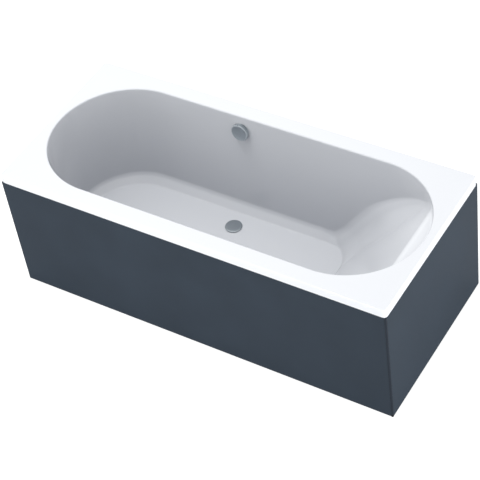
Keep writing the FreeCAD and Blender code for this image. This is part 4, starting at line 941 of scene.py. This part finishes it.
def knob():
    """The overflow's turning cap: a low crown, a fluted grip and a notch, hollow behind.

    The flutes are a saw of V grooves round the side. They and the notch take their depth off the
    radius of each point near the rim, and fade out over the rounded front edge.
    """
    outline = [(0, 0.024), (0.018, 0.0238), (0.0320, 0.0230), (0.0355, 0.0215), (0.037, 0.0185),
               (0.037, 0.008), (0.0335, 0.008), (0.0335, 0.0145), (0.0275, 0.0190),
               (0.006, 0.0190), (0.006, 0.008), (0, 0.008)]
    rounds = [0, 0.09, 0.02, 0.004, 0.003, 0.0006, 0.0006, 0.004, 0.004, 0.001, 0.0005, 0]
    radius, height = softened(outline, rounds, ROUND_STEPS).T[:, :, None]
    angle = full_turn(FLUTES * 6)
    saw = np.abs(2 * (angle * FLUTES / (2 * math.pi) % 1) - 1)
    off = np.abs((angle - NOTCH_ANGLE + math.pi) % (2 * math.pi) - math.pi)
    notch = 1 - ease(off / NOTCH_SPREAD)
    cut = np.maximum(FLUTE_DEPTH * saw, NOTCH_DEPTH * notch)
    cut = cut * ease((radius - FLUTE_INNER) / FLUTE_FADE)
    grid = turned(radius - cut, angle, height)
    made(placed(patch(grid), OVERFLOW_PLACE), "overflow_knob")


def plug_cap():
    """The drain's lifting cap: a shallow crown that falls to a rounded edge."""
    low, high = (corner.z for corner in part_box("plug_cap"))
    outline = [(0, high), (0.020, high - 0.0001), (0.0300, high - 0.0006), (0.0340, high - 0.0012),
               (0.036, high - 0.0026), (0.036, low), (0.0, low)]
    rounds = [0, 0.2, 0.03, 0.004, 0.0012, 0.0005, 0]
    place = Matrix.Translation((DRAIN_PLACE.x, DRAIN_PLACE.y, 0))
    made(placed(lathe(softened(outline, rounds, ROUND_STEPS), 128), place), "plug_cap")


def feet():
    """Each foot's threaded rod, and its pad: a hub on a broad brim with ribs between them."""
    for spot in ("front_left", "back_left", "front_right", "back_right", "centre"):
        low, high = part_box("foot_rod_" + spot)
        place = Matrix.Translation(((low.x + high.x) / 2, (low.y + high.y) / 2, 0))
        made(placed(thread(*FOOT_ROD, low.z, high.z), place), "foot_rod_" + spot)
        made(placed(foot_pad(), place), "foot_pad_" + spot)


def islands(name):
    """The low and high corners of a frame node's separate solids, from its joined points."""
    mesh = frame["nodes"][name].data
    work = bmesh.new()
    work.from_mesh(mesh)
    bmesh.ops.remove_doubles(work, verts=work.verts, dist=TINY)
    left = set(work.verts)
    found = []
    while left:
        edge = [left.pop()]
        island = list(edge)
        while edge:
            for link in edge.pop().link_edges:
                for point in link.verts:
                    if point in left:
                        left.remove(point)
                        edge.append(point)
                        island.append(point)
        places = np.array([point.co for point in island])
        found.append((places.min(0), places.max(0)))
    work.free()
    return found


def lock_nuts():
    """The nuts that lock the feet's rods."""
    shapes = []
    for low, high in islands("foot_lock_nuts"):
        place = Matrix.Translation(((low[0] + high[0]) / 2, (low[1] + high[1]) / 2, low[2]))
        nut = hex_nut(LOCK_NUT, high[2] - low[2], LOCK_NUT_BORE)
        shapes.append(placed(nut, place))
    made(joined(*shapes), "foot_lock_nuts")


def pipes():
    """The ribbed overflow hose with its two unions, and the trap's outlet elbow."""
    drop = OVERFLOW_PLACE.to_3x3() @ Vector((0, -1, 0))
    start = OVERFLOW_PLACE @ Vector((0, -0.048, NOZZLE_DEPTH))
    end = DRAIN_PLACE + Vector((0, STUB_REACH, -STUB_DROP))
    corner = start + drop * ((end.z - start.z) / drop.z)
    made(tube([start, corner, end], *HOSE, 48, 0.0012, ribs=0.0011, plain=0.016),
         "overflow_pipe")
    onto = Matrix.Rotation(math.pi / 2, 4, "X")
    top = OVERFLOW_PLACE @ Matrix.Translation((0, -0.037, NOZZLE_DEPTH)) @ onto
    made(placed(gripped_ring(HOSE_FIT, HOSE_FIT), top), "pipe_union_top")
    low = Matrix.Translation(end + Vector((0, 0.011, 0))) @ onto
    made(placed(gripped_ring(HOSE_FIT, STUB_FIT), low), "pipe_union_bottom")
    low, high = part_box("outlet_elbow")
    spout = Vector((high.x, DRAIN_PLACE.y, (low.z + high.z) / 2))
    corner = spout - Vector((0.046, 0, 0))
    made(tube([spout, corner, corner + Vector((0, 0.058, 0))], *ELBOW, 56, 0.002), "outlet_elbow")


def nuts():
    """The trap's two slip nuts, chamfered at both ends."""
    low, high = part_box("trap_nut")
    place = Matrix.Translation((DRAIN_PLACE.x, DRAIN_PLACE.y, low.z))
    made(placed(hex_nut(SLIP_NUT, high.z - low.z, 0.02005), place), "trap_nut")
    low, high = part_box("outlet_nut")
    place = (Matrix.Translation((high.x, DRAIN_PLACE.y, (low.z + high.z) / 2))
             @ Matrix.Rotation(-math.pi / 2, 4, "Y"))
    made(placed(hex_nut(SLIP_NUT, high.x - low.x, 0.01905), place), "outlet_nut")


def screws(name):
    """Pan-head screws with a cross in each head and a coarse thread."""
    shapes = []
    for low, high in islands(name):
        x, y = (low[:2] + high[:2]) / 2
        neck = low[2] + SCREW_HEAD[1]
        shapes.append(placed(screw_head(*SCREW_HEAD), Matrix.Translation((x, y, neck))))
        shapes.append(placed(thread(*SCREW_BAR, neck, high[2]), Matrix.Translation((x, y, 0))))
    made(joined(*shapes), name)


# frame nodes kept as they are but for an eased edge, and how wide it is
REFINED = {
    "corner_profile": 0.0003, "corner_foot": 0.0005,
    "base_board": 0.0004, "rim_batten_front": 0.001, "rim_batten_back": 0.001,
    "corner_blocks": 0.001, "front_hook_rail": 0.0008, "end_hook_rail": 0.0008,
    "front_cleat": 0.0012, "end_cleat": 0.0012, "leg_rail_left": 0.0004,
    "leg_rail_right": 0.0004, "centre_foot_plate": 0.0004, "panel_clips_front": 0.0002,
    "panel_clips_end": 0.0002, "wall_anchors_back": 0.0004, "wall_anchors_left": 0.0004,
    "panel_magnets": 0.0004, "strike_plates": 0.0002, "waste_flange": 0.0003,
    "waste_seal_top": 0.0002, "waste_seal_under": 0.0005, "waste_body": 0.0006,
    "plug_seal": 0.0004, "plug_stem": 0.0003, "lift_lever": 0.0003, "lever_pin": 0.0002,
    "overflow_seal": 0.0005, "overflow_housing": 0.0006, "knob_shaft": 0.0003,
    "cable_cam": 0.0004, "pull_cable": 0, "cable_ferrules": 0.0002, "trap_body": 0.0006,
    "cleaning_plug": 0.0005,
}
shell()
panels()
knob()
refined("overflow_face", FACE_EDGE)
plug_cap()
feet()
lock_nuts()
pipes()
nuts()
screws("frame_screws")
screws("clip_screws")
for name, edge in REFINED.items():
    refined(name, edge)


def stage():
    """A pale floor that keeps a faint shadow, and white light all round."""
    scene = bpy.context.scene
    scene.view_settings.view_transform = "Standard"
    scene.world = bpy.data.worlds.new("room")
    scene.world.use_nodes = True
    tree = scene.world.node_tree
    tree.nodes.clear()
    path = node(tree, "LightPath").outputs
    seen = sums(tree, "ADD", path["Is Camera Ray"], path["Is Glossy Ray"])
    seen = sums(tree, "ADD", seen, path["Is Transmission Ray"], True)
    strength = sums(tree, "ADD", sums(tree, "MULTIPLY", seen, 1 - AMBIENT), AMBIENT)
    back = node(tree, "Background", {"Color": (1, 1, 1, 1), "Strength": strength})
    node(tree, "OutputWorld", {"Surface": back.outputs[0]})
    corners = np.array([(-1, -1, 0), (1, -1, 0), (1, 1, 0), (-1, 1, 0)]) * FLOOR_REACH
    mesh = mesh_of("stage_floor", (corners, [(0, 1, 2, 3)]))
    floor = new_object("stage_floor", mesh)
    floor.location.z = -FLOOR_DROP
    material = bpy.data.materials.new("stage_floor")
    material.use_nodes = True
    tree = material.node_tree
    shader = tree.nodes["Principled BSDF"]
    shader.inputs["Base Color"].default_value = (0.5, 0.5, 0.5, 1)
    shader.inputs["Roughness"].default_value = 0.9
    shader.inputs["Specular IOR Level"].default_value = 0.0
    shader.inputs["Emission Color"].default_value = (1, 1, 1, 1)
    light = node(tree, "LightPath").outputs["Is Camera Ray"]
    glow = sums(tree, "MULTIPLY", light, FLOOR_GLOW)
    tree.links.new(glow, shader.inputs["Emission Strength"])
    mesh.materials.append(material)


def lamp(name, place, target, power, size, mirrored):
    """A soft square lamp aimed at a point, which glossy surfaces may mirror."""
    light = bpy.data.lights.new(name, "AREA")
    light.energy = power
    light.size = size
    holder = new_object(name, light)
    holder.location = place
    holder.rotation_euler = (Vector(target) - Vector(place)).to_track_quat("-Z", "Y").to_euler()
    holder.visible_glossy = mirrored


def camera():
    """A long lens from the right front and above, rolled a little, as the photo was solved."""
    azimuth, height, roll = (math.radians(angle) for angle in CAMERA_ANGLES)
    back = Vector((math.sin(azimuth) * math.cos(height), -math.cos(azimuth) * math.cos(height),
                   math.sin(height)))
    right = Vector((0, 0, 1)).cross(back).normalized()
    up = back.cross(right)
    across = right * math.cos(roll) + up * math.sin(roll)
    upward = up * math.cos(roll) - right * math.sin(roll)
    data = bpy.data.cameras.new("camera")
    data.lens = CAMERA_LENS
    data.sensor_width = 36
    data.clip_end = 100
    holder = new_object("camera", data)
    turn = Matrix((across, upward, back)).transposed().to_4x4()
    holder.matrix_world = Matrix.Translation(CAMERA_PLACE) @ turn
    bpy.context.scene.camera = holder


stage()
for row in LAMPS:
    lamp(*row)
camera()
